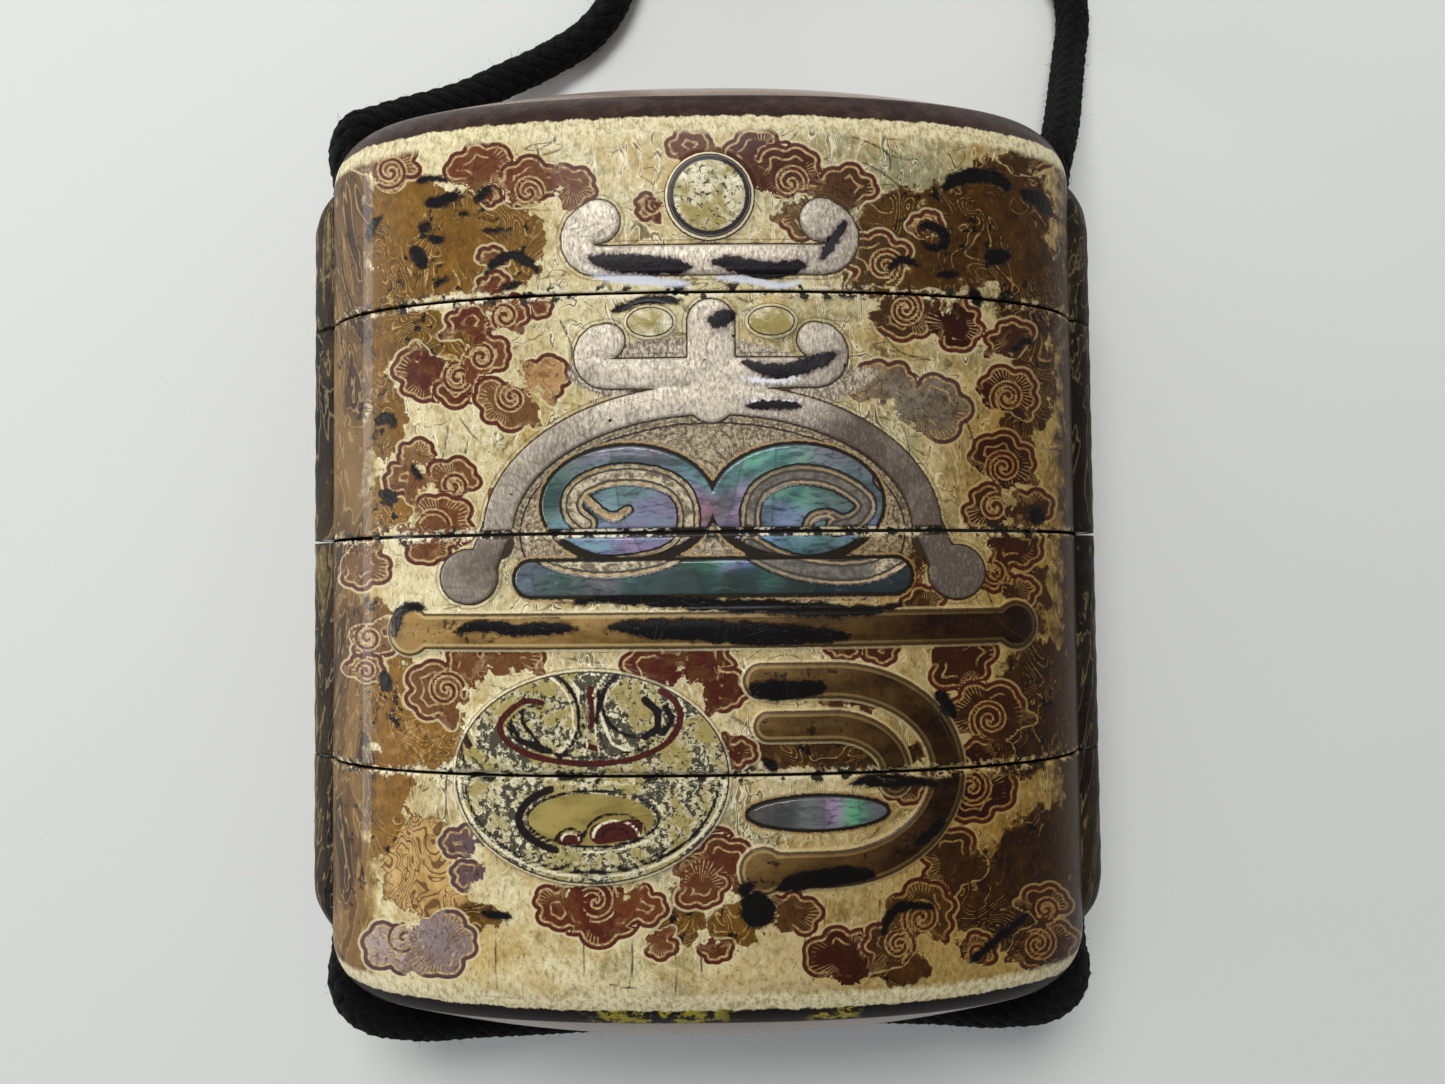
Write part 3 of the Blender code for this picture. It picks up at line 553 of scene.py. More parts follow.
def bar_shape(points):
    y = UPPER_SEAM - 6.9
    ends = [(CREST_X - 22.2, y), (CREST_X + 22.2, y)]
    away = to_path(points, ends) - 1.1
    return np.minimum(away, np.minimum(*[to_oval(points, end, 1.606, 1.606) for end in ends]))


def left_medallion_shape(points):
    return to_oval(points, (-8.0, LOWER_SEAM), 9.8, 7.4)


def right_medallion_shape(points):
    middle = (8.98, LOWER_SEAM)
    outer = arc(middle, 8.428, 6.586, 90, -90, 30)
    outer = [(4.08, outer[0][1])] + outer + [(4.08, outer[-1][1])]
    inner = arc(middle, 4.606, 3.404, 90, -10, 16)
    inner = [(4.57, inner[0][1])] + inner
    away = np.minimum(to_path(points, outer) - 1.1, to_path(points, inner) - 0.902)
    return np.minimum(away, to_oval(points, outer[-1], 1.496, 1.496))


def ramp(value, start, stop):
    """Runs smoothly from 0 at start to 1 at stop."""
    share = np.clip((value - start) / (stop - start), 0, 1)
    return share * share * (3 - 2 * share)


def raised(points, section, height):
    """Height of the raised lacquer over the coat, in millimetres."""
    lift = np.zeros(len(points))
    shapes = {
        "lid": [jewel_shape],
        "upper_case": [petal_shape],
        "middle_case": [bar_shape, left_medallion_shape, right_medallion_shape],
        "lower_case": [left_medallion_shape, right_medallion_shape],
    }[section]
    for shape in shapes:
        away = shape(points)
        lift = np.maximum(lift, (height - 0.1) * ramp(away, 0.45, 0.02) + 0.12 * ramp(away, 0.0, -1.0))
    return lift


# The body's surface, in millimetres


def superellipse(turn):
    """Across and up on the body's rounded outline, each from -1 to 1."""
    power = 2 / ROUNDNESS
    across, up = np.cos(turn), np.sin(turn)
    return np.sign(across) * np.abs(across) ** power, np.sign(up) * np.abs(up) ** power


def ring_turns(front_step, back_step):
    """Turns round the body, evenly spaced along it, with closer ones on the front."""
    turn = np.linspace(0, 2 * math.pi, 40001)
    across, up = superellipse(turn)
    run = np.concatenate([[0], np.cumsum(np.hypot(np.diff(HALF_WIDTH * across), np.diff(HALF_DEPTH * up)))])
    half = run[len(run) // 2]
    front = np.linspace(0, half, round(half / front_step) + 1)[:-1]
    back = np.linspace(half, run[-1], round(half / back_step) + 1)
    return np.interp(np.concatenate([front, back]), run, turn)


def body_ring(turns, inset, y, share=1.0, floor=0.0):
    """A ring round the body, inset from its wall, no lower than the floor and shrunk to a share."""
    across, up = superellipse(turns)
    x = (HALF_WIDTH - inset) * across * share
    z = MIDPLANE + (np.maximum(MIDPLANE + (HALF_DEPTH - inset) * up, max(inset, floor)) - MIDPLANE) * share
    return np.stack([x, np.full_like(x, y), z], axis=1)


def front_height(points):
    """Z of the front wall over points in x and y."""
    share = np.clip(np.abs(points[:, 0]) / HALF_WIDTH, 0, 1)
    return MIDPLANE + HALF_DEPTH * (1 - share**ROUNDNESS) ** (1 / ROUNDNESS)


def domed_end(turns, towards, lift, dome_shares, shoulder_steps):
    """Rings from the pole out to the wall. Towards is 1 at the lid and -1 at the base."""
    rings = []
    inset = SHOULDER_RADIUS * (1 - math.cos(SHOULDER_TURN)) - lift * math.cos(SHOULDER_TURN)
    for share in dome_shares:
        fall = DOME_RISE * max(share**2 - CROWN_SHARE**2, 0) / (1 - CROWN_SHARE**2)
        y = CROWN_Y - fall + lift * math.sin(SHOULDER_TURN)
        rings.append(body_ring(turns, inset, towards * y, share, LOWEST))
    for step in range(shoulder_steps - 1, -1, -1):
        angle = SHOULDER_TURN * step / shoulder_steps
        inset = SHOULDER_RADIUS * (1 - math.cos(angle)) - lift * math.cos(angle)
        y = SHOULDER_Y + (SHOULDER_RADIUS + lift) * math.sin(angle)
        rings.append(body_ring(turns, inset, towards * y, 1.0, LOWEST))
    return rings


def wall_rows(start, stop, step, rounded_stop, lift):
    """Places along a wall and the coat's lift there, rounded off at its start and, if asked, its stop."""
    edges = [(e, lift - EDGE_FALL * (1 - e / EDGE_WIDTH) ** 2) for e in (0.0, 0.03, 0.08, EDGE_WIDTH)]
    count = max(round((stop - start) / step), 4)
    middle = list(np.linspace(start, stop, count + 1))[1:]
    rows = [(start - OVERHANG + e, edge_lift) for e, edge_lift in edges]
    tail = []
    if rounded_stop:
        tail = [(stop + OVERHANG - e, edge_lift) for e, edge_lift in reversed(edges)]
        middle = middle[:-1]
    return rows + [(y, lift) for y in middle] + tail


def coat_rings(name, turns, step, coat):
    """All rings of a section's coat, and where the outer ones that carry the relief start and stop."""
    low, high = SECTIONS[name]

    def outer_rings(start, stop, rounded_stop, towards):
        rows = wall_rows(start, stop, step, rounded_stop, coat)
        return [body_ring(turns, -lift, towards * y, 1.0, LOWEST) for y, lift in rows]

    def inner_rings(heights):
        return [body_ring(turns, -SUNK, y) for y in heights]

    if name in END_SECTIONS:
        towards = 1 if name == "lid" else -1
        seam = low if name == "lid" else -high
        inner = domed_end(turns, towards, SUNK, [0, 0.4, 0.8, 1.0], 3)
        inner += inner_rings([towards * (seam + 1.0), towards * (seam - OVERHANG)])
        outer = outer_rings(seam, SHOULDER_Y, False, towards)[:-1]
        ends = domed_end(turns, towards, coat, list(np.linspace(0, 1, 26) ** 0.8), 22)[::-1]
        rings = inner + outer + ends
        return rings, len(inner), len(rings)
    outer = outer_rings(low, high, True, 1)
    inner = inner_rings([high + OVERHANG, (low + high) / 2, low - OVERHANG])
    return outer + inner + [outer[0]], 0, len(outer)


def add_coat(name, sizes):
    """One section's coat of lacquer as a closed thin shell, with its raised ornament."""
    step, coat = sizes.front_step / MM, sizes.coat / MM
    turns = ring_turns(step, sizes.back_step / MM)
    rings, first, last = coat_rings(name, turns, step, coat)
    places = np.stack(rings)
    outer = places[first:last]
    flat = outer.reshape(-1, 3)
    lift = raised(flat[:, :2], name, sizes.relief / MM) * (flat[:, 2] > MIDPLANE + 4)
    low, high = SECTIONS[name]
    lift *= ramp(np.minimum(flat[:, 1] - low, high - flat[:, 1]), -0.02, 0.3)

    def slope(value, half):
        return np.sign(value) * np.abs(value / half) ** (ROUNDNESS - 1) / half

    x, z = flat[:, 0], flat[:, 2] - MIDPLANE
    normal = np.stack([slope(x, HALF_WIDTH), 0 * x, slope(z, HALF_DEPTH)], axis=1)
    normal /= np.maximum(np.linalg.norm(normal, axis=1, keepdims=True), 1e-9)
    places[first:last] = (flat + normal * lift[:, None]).reshape(outer.shape)
    if not first:
        places[-1] = places[0]
    coat_piece = wrap_grid(f"{name}_coat", places)
    close_up(coat_piece)
    cut_channels(coat_piece)
    paint(coat_piece, name)
    return coat_piece


# The cord runners' surface: how far it runs past the solid, and how deep the skin is in metres
RUNNER_PAST, RUNNER_SKIN = 0.1, 0.00035


def runner_rows(name):
    """Heights along a section's runner, closer together where it tapers off."""
    low, high = SECTIONS[name]
    bottom, top = max(low - OVERHANG, RUNNER_LOW - RUNNER_PAST), min(
        high + OVERHANG, RUNNER_HIGH + RUNNER_PAST)
    rows = np.linspace(bottom, top, round((top - bottom) / 0.22) + 1)
    if name == "lid":
        return np.concatenate([rows[rows < top - 0.8], top - 0.8 * np.linspace(1, 0, 9)[:-1] ** 2, [top]])
    if name == "lower_case":
        return np.concatenate(
            [[bottom], bottom + 0.8 * np.linspace(0, 1, 9)[1:] ** 2, rows[rows > bottom + 0.8]])
    return rows


def runner_places(rows, sign, coat):
    """The half-round surface of a runner, slightly uneven from wear."""
    angles = np.linspace(-math.pi / 2, math.pi / 2, 61)
    past = np.maximum(RUNNER_LOW + RUNNER_TAPER - rows, rows - RUNNER_HIGH + RUNNER_TAPER)
    past = np.maximum(past, 0) / (RUNNER_TAPER + RUNNER_PAST)
    share = np.sqrt(np.clip(1 - past**2, 0, 1))[:, None]
    wear = 0.035 * np.sin(rows * 2.1 + sign)[:, None] * np.sin(angles * 5 + rows[:, None] * 0.8)
    x = RUNNER_ROOT_X + ((RUNNER_REACH + coat) * share + wear * share) * np.cos(angles)
    z = MIDPLANE + ((RUNNER_HALF + coat) * share + wear * share) * np.sin(angles)
    y = np.repeat(rows[:, None], len(angles), axis=1)
    return np.stack([sign * x, y, z], axis=-1)


# Painting


def seen_from_front(points):
    """Where the photograph shows each point, in its pixels."""
    turn = np.array(EYE_TURN.to_3x3())
    spot = (points - EYE) @ turn
    depth = np.maximum(-spot[:, 2], 1.0)
    across, down = FOCAL * spot[:, 0] / depth, FOCAL * spot[:, 1] / depth
    return np.stack([FRAME_WIDTH / 2 + across, FRAME_HEIGHT / 2 - down], axis=1)


def laid_out(points):
    """The same for the back, as if it were seen straight through the case."""
    return np.stack(
        [PICTURE_MIDDLE[0] - PIXELS * points[:, 0], PICTURE_MIDDLE[1] - PIXELS * points[:, 1]], axis=1)


def cloud_outline(number, size, turn):
    """A puffy outline about the middle, scalloped on its crown and flatter underneath."""
    lobes = 4 + number % 2
    puffs = [(0.0, 0.0, 0.58), (-0.34, 0.22 * math.cos(number), 0.36)]
    for lobe in range(lobes):
        angle = math.radians((lobe - (lobes - 1) / 2) * 46 + 9 * math.sin(number * 1.9 + lobe * 2.2))
        puffs.append(
            (
                0.56 * math.cos(angle), 0.56 * math.sin(angle),
                0.35 + 0.06 * math.sin(number * 2.7 + lobe * 1.6)))
    hand = 1 if number % 2 else -1
    puffs += [(-0.30, 0.58 * hand, 0.24), (-0.42, 0.86 * hand, 0.13)]
    way = np.linspace(0, 2 * math.pi, 96, endpoint=False)
    reach = np.zeros(len(way))
    for x, y, radius in puffs:
        aside = x * np.sin(way) - y * np.cos(way)
        ahead = x * np.cos(way) + y * np.sin(way)
        outside = ahead + np.sqrt(np.maximum(radius**2 - aside**2, 0))
        reach = np.maximum(reach, np.where(np.abs(aside) < radius, outside, 0))
    way = way - math.radians(turn)
    return np.stack([size * 1.12 * reach * np.cos(way), size * 0.94 * reach * np.sin(way)], axis=1)


def cloud_fields(where, clouds):
    """Signed distance to the clouds, each over the ones before it, and of the nearest cloud
    the tint, the distance to its scroll, the run round it and how near its crown the point is."""
    away, tint, curl = np.full(len(where), FAR), np.ones(len(where)), np.full(len(where), FAR)
    comb, side = np.zeros(len(where)), np.ones(len(where))
    for number, (x, y, size, turn, shade, scroll) in enumerate(clouds):
        near = np.flatnonzero(np.max(np.abs(where - (x, y)), axis=1) < size * 1.2 + 14)
        if not len(near):
            continue
        spot = where[near] - (x, y)
        outline = cloud_outline(number, size, turn)
        around = np.arctan2(spot[:, 1], spot[:, 0])
        bearing = np.unwrap(np.arctan2(outline[:, 1], outline[:, 0])) % (2 * math.pi)
        order = np.argsort(bearing)
        reach = np.interp(
            around % (2 * math.pi), bearing[order], np.hypot(*outline.T)[order], period=2 * math.pi)
        own = to_path(spot, outline, 40.0, closed=True) * np.where(np.hypot(*spot.T) < reach, -1, 1)
        over = own < 2.0
        crown = np.cos(around + math.radians(turn))
        joined = np.minimum(away[near], own)
        tint[near] = np.where(over | (own < away[near]), shade, tint[near])
        away[near] = np.where(over, joined + (own - joined) * ramp(crown, -0.45, 0.0), joined)
        side[near] = np.where(over, crown, side[near])
        comb[near] = np.where(own < 6.0, around * size / PIXELS, comb[near])
        winding = np.full(len(near), FAR)
        if scroll:
            back = math.radians(-turn + 150)
            centre = (size * 0.16 * math.cos(back), size * 0.16 * math.sin(back))
            winding = to_path(spot, spiral(centre, size * 0.50, -turn + 190, 1 if number % 2 else -1), NEAR)
        curl[near] = np.where(over, winding, np.minimum(curl[near], winding))
    return away, tint, curl, comb, side


# Where the ground is pale and where it is mossy: place in pixels, paleness, mossiness
GROUND_WASH = [
    (400, 130, 0.9, 0.1), (600, 135, 0.95, 0.1), (760, 125, 0.9, 0.1), (900, 120, 0.9, 0.2),
    (1030, 140, 0.6, 0.3), (590, 165, 0.75, 0.5), (560, 180, 0.8, 0.3), (690, 235, 0.7, 0.3),
    (840, 160, 0.4, 0.8), (900, 180, 0.4, 0.9), (870, 210, 0.4, 0.8), (1040, 190, 0.5, 0.3),
    (560, 240, 0.6, 0.2), (380, 190, 0.5, 0.4), (360, 260, 0.4, 0.4), (560, 325, 0.75, 0.3),
    (620, 270, 0.8, 0.1), (450, 430, 0.5, 0.3), (420, 420, 0.7, 0.2), (500, 350, 0.6, 0.3),
    (860, 330, 0.45, 0.5), (900, 340, 0.5, 0.5), (960, 370, 0.5, 0.4), (970, 450, 0.5, 0.4),
    (880, 300, 0.6, 0.4), (480, 420, 0.6, 0.2), (420, 570, 0.75, 0.2), (380, 600, 0.7, 0.2),
    (470, 620, 0.6, 0.3), (600, 580, 0.5, 0.4), (560, 650, 0.35, 0.2), (760, 650, 0.5, 0.3),
    (940, 560, 0.5, 0.3), (980, 620, 0.4, 0.4), (1020, 560, 0.3, 0.4), (1040, 640, 0.2, 0.4),
    (430, 650, 0.5, 0.2), (480, 790, 0.8, 0.1), (420, 780, 0.7, 0.1), (440, 820, 0.6, 0.2),
    (740, 770, 0.85, 0.1), (745, 830, 0.5, 0.6), (800, 790, 0.6, 0.3), (900, 810, 0.4, 0.5),
    (970, 820, 0.4, 0.4), (860, 910, 0.5, 0.4), (820, 900, 0.55, 0.3), (560, 930, 0.7, 0.2),
    (480, 960, 0.9, 0.0), (600, 960, 0.85, 0.2), (660, 985, 0.6, 0.4), (740, 960, 0.9, 0.1),
    (800, 980, 0.85, 0.2), (760, 900, 0.6, 0.4), (900, 985, 0.7, 0.3), (1000, 965, 0.6, 0.3),
    (950, 900, 0.3, 0.4), (1030, 820, 0.2, 0.3), (400, 980, 0.9, 0.0), (370, 900, 0.5, 0.2),
]
WASH_SOFTNESS = 250


def blend_wash(where, front, spots, power):
    """Blend given values between the places where they were set."""
    values = np.array([spot[2:] for spot in spots], dtype=float)
    out = np.tile(values.mean(0), (len(where), 1))
    at = where[front]
    total, share = np.zeros((len(at), values.shape[1])), np.zeros(len(at))
    for spot, value in zip(spots, values):
        weight = 1 / (((at[:, 0] - spot[0]) ** 2 + (at[:, 1] - spot[1]) ** 2) + WASH_SOFTNESS) ** power
        total += weight[:, None] * value
        share += weight
    out[front] = total / share[:, None]
    return out


def back_clouds():
    """Fewer clouds for the back, which the photograph doesn't show."""
    chosen = []
    for number in range(16):
        x = PICTURE_MIDDLE[0] + 150 * (number % 4 - 1.5) + 40 * math.sin(number * 2.3)
        y = 200 + 215 * (number // 4) + 38 * math.sin(number * 1.7 + 1)
        size, turn = 30 + 10 * math.sin(number * 3.1), 57 * number % 360
        chosen.append((x, y, size, turn, 0.8 + 0.8 * math.sin(number * 1.3) ** 2, number % 2))
        chosen.append((x + 38, y + 14, 24, turn + 60, 1.2, 0))
    return chosen


def paint(obj, section):
    """Store the distances and tints that the lacquer's material turns into paint."""
    points = points_of(obj)
    front = points[:, 2] > MIDPLANE - 1
    flat = points[:, :2]
    where = seen_from_front(points)
    where[~front] = laid_out(points[~front])

    def on_front(measure, shapes):
        away = np.full(len(points), NEAR)
        away[front] = measure(where[front], shapes)
        return away

    fields = np.full((5, len(points)), FAR)
    fields[:, front] = cloud_fields(where[front], CLOUDS)
    fields[:, ~front] = cloud_fields(where[~front], back_clouds())
    store_drawn(obj, "cloud", fields[0])
    store(obj, "tint", fields[1])
    store_drawn(obj, "curl", fields[2])
    store(obj, "comb", fields[3])
    store(obj, "crown", fields[4])

    mass, light = np.full(len(points), FAR), np.full(len(points), 0.5)
    for x, y, across, along, turn, lightness in MASSES:
        own = to_oval(where, (x, y), across, along, turn)
        own[~front] = FAR
        light = np.where(own < mass, lightness, light)
        mass = np.minimum(mass, own)
    side = np.minimum(where[:, 0] - FRONT_FLANKS[0], FRONT_FLANKS[1] - where[:, 0])
    side[~front] = (BACK_FLANK - np.abs(points[~front, 0])) * PIXELS
    store_drawn(obj, "mass", mass)
    store(obj, "light", light)
    store_drawn(obj, "side", side)
    store_drawn(obj, "crack", on_front(to_lines, [(smooth(path), CRACK_WIDTH) for path in CRACKS]))
    # Worn marks, with the painted shadow under the shell strip among them
    store_drawn(obj, "worn", on_front(to_strokes, MARKS))
    # Painted reflections of the light beside some marks
    store_drawn(obj, "glint", on_front(to_strokes, PAINTED_GLINTS))

    # Seams, and the dark ends, which start sooner on the lid's shoulder than on the base's
    low, high = SECTIONS[section]
    ends = {"lid": points[:, 1] - low, "lower_case": high - points[:, 1]}
    store(obj, "seam", np.abs(ends.get(section, np.minimum(points[:, 1] - low, high - points[:, 1]))))
    height = np.abs(points[:, 1])
    past = np.clip((height - SHOULDER_Y) / SHOULDER_RADIUS, 0, math.sin(SHOULDER_TURN))
    tip = np.where(points[:, 1] > 0, 1.15, 0.0) + np.degrees(np.arcsin(past)) / 10 - 3.3
    store(obj, "tip", tip if section in END_SECTIONS else tip - 9.0)
    store(obj, "dome", ramp(height, SHOULDER_TOP - 0.05, SHOULDER_TOP + 0.1))

    # The crest, which the back doesn't have
    crest_at = np.where(front[:, None], flat, 99.0)

    def store_nearest(name, *shapes):
        away = np.full(len(points), 9.0)
        for shape in shapes:
            away = np.minimum(away, shape(crest_at))
        store(obj, name, away)

    store_nearest("metal", bracket_shape, arch_shape, foot_shape(LEFT), foot_shape(RIGHT))
    store_nearest("shell", lobes_shape, strip_shape, small_oval_shape)
    under = to_oval(crest_at, (CREST_X, UPPER_SEAM), 14.3, 8.3)
    store(obj, "under", np.where(flat[:, 1] > UPPER_SEAM - 5.0, under, 9.0))
    store_nearest("bar", bar_shape, right_medallion_shape)
    store_nearest("disc", jewel_shape, petal_shape, left_medallion_shape)
    store_nearest("medal", left_medallion_shape)
    store_drawn(obj, "well", to_oval(where, (590, 820), 64, 26))
    store_drawn(obj, "web", on_front(to_ovals, WEB))
    store_drawn(obj, "inked", on_front(to_lines, DARK_LINES))
    store_drawn(obj, "gilt", on_front(to_lines, PALE_LINES))
    store_drawn(obj, "rosy", on_front(to_lines, ROSY_BANDS))
    wash = blend_wash(where, front, GROUND_WASH, 1.6)
    store(obj, "pale", wash[:, 0])
    store(obj, "mossy", wash[:, 1])


# The scratched bright patch under the bracket, as ovals: centre, half width, half height, turn
WEB = [((690, 372), 122, 34, 0), ((820, 392), 60, 14, -20)]

# The left medallion: one ribbon that curls up into a volute at each end, over a well with clouds
RIBBON = [
    (542, 703), (526, 701), (510, 711), (500, 725), (508, 743), (536, 757), (572, 763), (609, 763),
    (645, 755), (670, 740), (681, 718), (674, 700), (661, 691)]
DARK_LINES = [
    (arc((521, 718), 58, 54, 150, 410, 48), 4), ([(463, 724), (462, 750), (466, 774)], 3),
    (arc((659, 718), 62, 58, 175, 370, 40), 4), (arc((639, 703), 37, 34, 40, 260, 30), 4),
    (
        [
            (541, 708), (527, 707), (516, 714), (507, 726), (515, 740), (540, 751), (572, 757), (609, 757),
            (641, 749), (663, 735), (673, 718), (667, 704)], 3), ([(511, 725), (520, 740), (551, 751)], 5),
    ([(523, 711), (522, 722), (539, 744)], 4), ([(645, 700), (658, 712), (658, 728), (645, 737)], 8),
    ([(664, 706), (672, 722), (664, 734)], 4), ([(583, 688), (586, 720), (576, 752)], 2),
    ([(599, 688), (595, 720), (606, 752)], 2), ([(591, 700), (591, 756)], 2),
    (arc((593, 819), 66, 28, 0, 360, 40), 3), (arc((593, 819), 74, 36, 120, 235, 24), 8),
    (arc((593, 819), 92, 50, -60, 150, 24), 2), (arc((592, 778), 127, 95, 0, 180, 50), 3),
    (arc((570, 841), 14, 12, 180, 350, 10), 3), (arc((616, 836), 31, 22, 180, 355, 16), 3),
    (arc((616, 838), 14, 10, 180, 355, 12), 3),
]
PALE_LINES = [
    (arc((521, 718), 52, 49, 150, 400, 40), 2), (arc((521, 718), 64, 60, 170, 330, 36), 2),
    (arc((659, 718), 56, 53, 175, 350, 36), 2), (arc((659, 718), 70, 66, 200, 350, 30), 3),
    ([(578, 688), (580, 720), (570, 744), (552, 756)], 3),
    ([(604, 688), (602, 720), (612, 744), (630, 752)], 3), ([(588, 700), (588, 740), (584, 756)], 2),
    ([(595, 700), (596, 740), (600, 754)], 2), (arc((592, 778), 133, 99, 0, 180, 50), 3),
    (arc((593, 819), 71, 33, -60, 100, 30), 2), (arc((616, 837), 23, 16, 180, 355, 14), 3),
    (arc((570, 841), 9, 8, 180, 350, 10), 2)]
ROSY_BANDS = [
    (smooth(RIBBON, 3), 6), (arc((659, 718), 66, 62, -125, -5, 30), 8),
    (arc((521, 718), 61, 57, 150, 270, 30), 5), ([(591, 690), (591, 712), (590, 726)], 8),
    ([(586, 746), (596, 748)], 6), ([(562, 840), (578, 839)], 11), ([(600, 834), (632, 829)], 21)]


# Materials


class Value:
    """An output in a recipe that sums can be done with."""

    def __init__(self, make, socket):
        self.make, self.socket = make, socket

    def __add__(self, other):
        return self.make.sum("ADD", self, other)

    def __sub__(self, other):
        return self.make.sum("SUBTRACT", self, other)

    def __rsub__(self, other):
        return self.make.sum("SUBTRACT", other, self)

    def __mul__(self, other):
        return self.make.sum("MULTIPLY", self, other)

    def __truediv__(self, other):
        return self.make.sum("DIVIDE", self, other)


class Recipe:
    """A node material in the making."""

    def __init__(self, name):
        self.material = bpy.data.materials.get(name) or bpy.data.materials.new(name)
        self.material.use_nodes = True
        self.nodes, self.links = self.material.node_tree.nodes, self.material.node_tree.links
        self.nodes.clear()
        self.shader = self.nodes.new("ShaderNodeBsdfPrincipled")
        output = self.nodes.new("ShaderNodeOutputMaterial")
        self.links.new(self.shader.outputs["BSDF"], output.inputs["Surface"])
        self.place = self.node("TexCoord", "Object", {})

    def feed(self, socket, value):
        """Link a socket to a value, or set it to a number or a colour."""
        if isinstance(value, Value):
            self.links.new(value.socket, socket)
        elif isinstance(value, (tuple, list)) or hasattr(value, "r"):
            socket.default_value = (*tuple(value)[:3], 1.0) if len(
                socket.default_value) == 4 else tuple(value)
        else:
            socket.default_value = value

    def node(self, kind, output, inputs, **settings):
        """Add a node, set it up, feed its inputs and give one of its outputs."""
        node = self.nodes.new("ShaderNode" + kind)
        for name, value in settings.items():
            setattr(node, name, value)
        for name, value in inputs.items():
            self.feed(node.inputs[name], value)
        return Value(self, node.outputs[output])

    def attribute(self, name, output="Fac"):
        return self.node("Attribute", output, {}, attribute_name=name)

    def stretched(self, scale, turn=0.0):
        """The place, with noises on it stretched where the scale is small."""
        return self.node(
            "Mapping", "Vector",
            {"Scale": scale, "Rotation": (0, 0, math.radians(turn)), "Vector": self.place})

    def noise(self, scale, detail=3.0, rough=0.55, twist=0.0, at=None):
        return self.node(
            "TexNoise", "Fac",
            {
                "Scale": scale, "Detail": detail, "Roughness": rough, "Distortion": twist,
                "Vector": at or self.place})

    def cells(self, scale, feature="F1", at=None, output="Distance"):
        return self.node("TexVoronoi", output, {"Scale": scale, "Vector": at or self.place}, feature=feature)

    def along(self, axis):
        """A coordinate in metres."""
        return self.node("SeparateXYZ", axis, {0: self.place})

    def sum(self, kind, first, second=0.0):
        return self.node("Math", 0, {0: first, 1: second}, operation=kind)

    def mask(self, value, start, stop, low=0.0, high=1.0):
        """Runs from low at start to high at stop, and stays there past them."""
        return self.node(
            "MapRange", "Result",
            {"From Min": start, "From Max": stop, "To Min": low, "To Max": high, "Value": value})

    def band(self, value, low, high, soft):
        """1 between low and high, fading over soft."""
        return self.mask(value, low - soft, low) * self.mask(value, high + soft, high)

    def mix(self, share, first, second, kind="MIX"):
        """A colour between two others."""
        return self.node("Mix", 2, {"Factor": share, 6: first, 7: second}, data_type="RGBA", blend_type=kind)

    def stain(self, share, colour, tint):
        """A colour darkened by a tint."""
        return self.mix(share, colour, tint, "MULTIPLY")

    def blend(self, share, first, second):
        """A number between two others."""
        return self.node("Mix", 0, {0: share, 2: first, 3: second}, data_type="FLOAT")

    def stripes(self, value, count, share, soft=0.06):
        """1 on thin lines that follow a value, count of them from 0 to 1."""
        return self.band(self.sum("FRACT", value * count), soft, soft + share, soft)

    def steps(self, value, stops):
        """A colour ramp over a value."""
        colour = self.node("ValToRGB", "Color", {"Fac": value})
        points = colour.socket.node.color_ramp.elements
        while len(points) < len(stops):
            points.new(0.5)
        for point, (place, tint) in zip(points, stops):
            point.position = place
            point.color = (*tuple(tint)[:3], 1.0)
        return colour

    def bump(self, height, distance, strength=1.0):
        normal = self.node("Bump", "Normal", {"Distance": distance, "Strength": strength, "Height": height})
        self.feed(self.shader.inputs["Normal"], normal)

    def finish(self, colour, rough, **sockets):
        self.feed(self.shader.inputs["Base Color"], colour)
        self.feed(self.shader.inputs["Roughness"], rough)
        for name, value in sockets.items():
            self.shader.inputs[name.replace("_", " ")].default_value = value
        return self.material


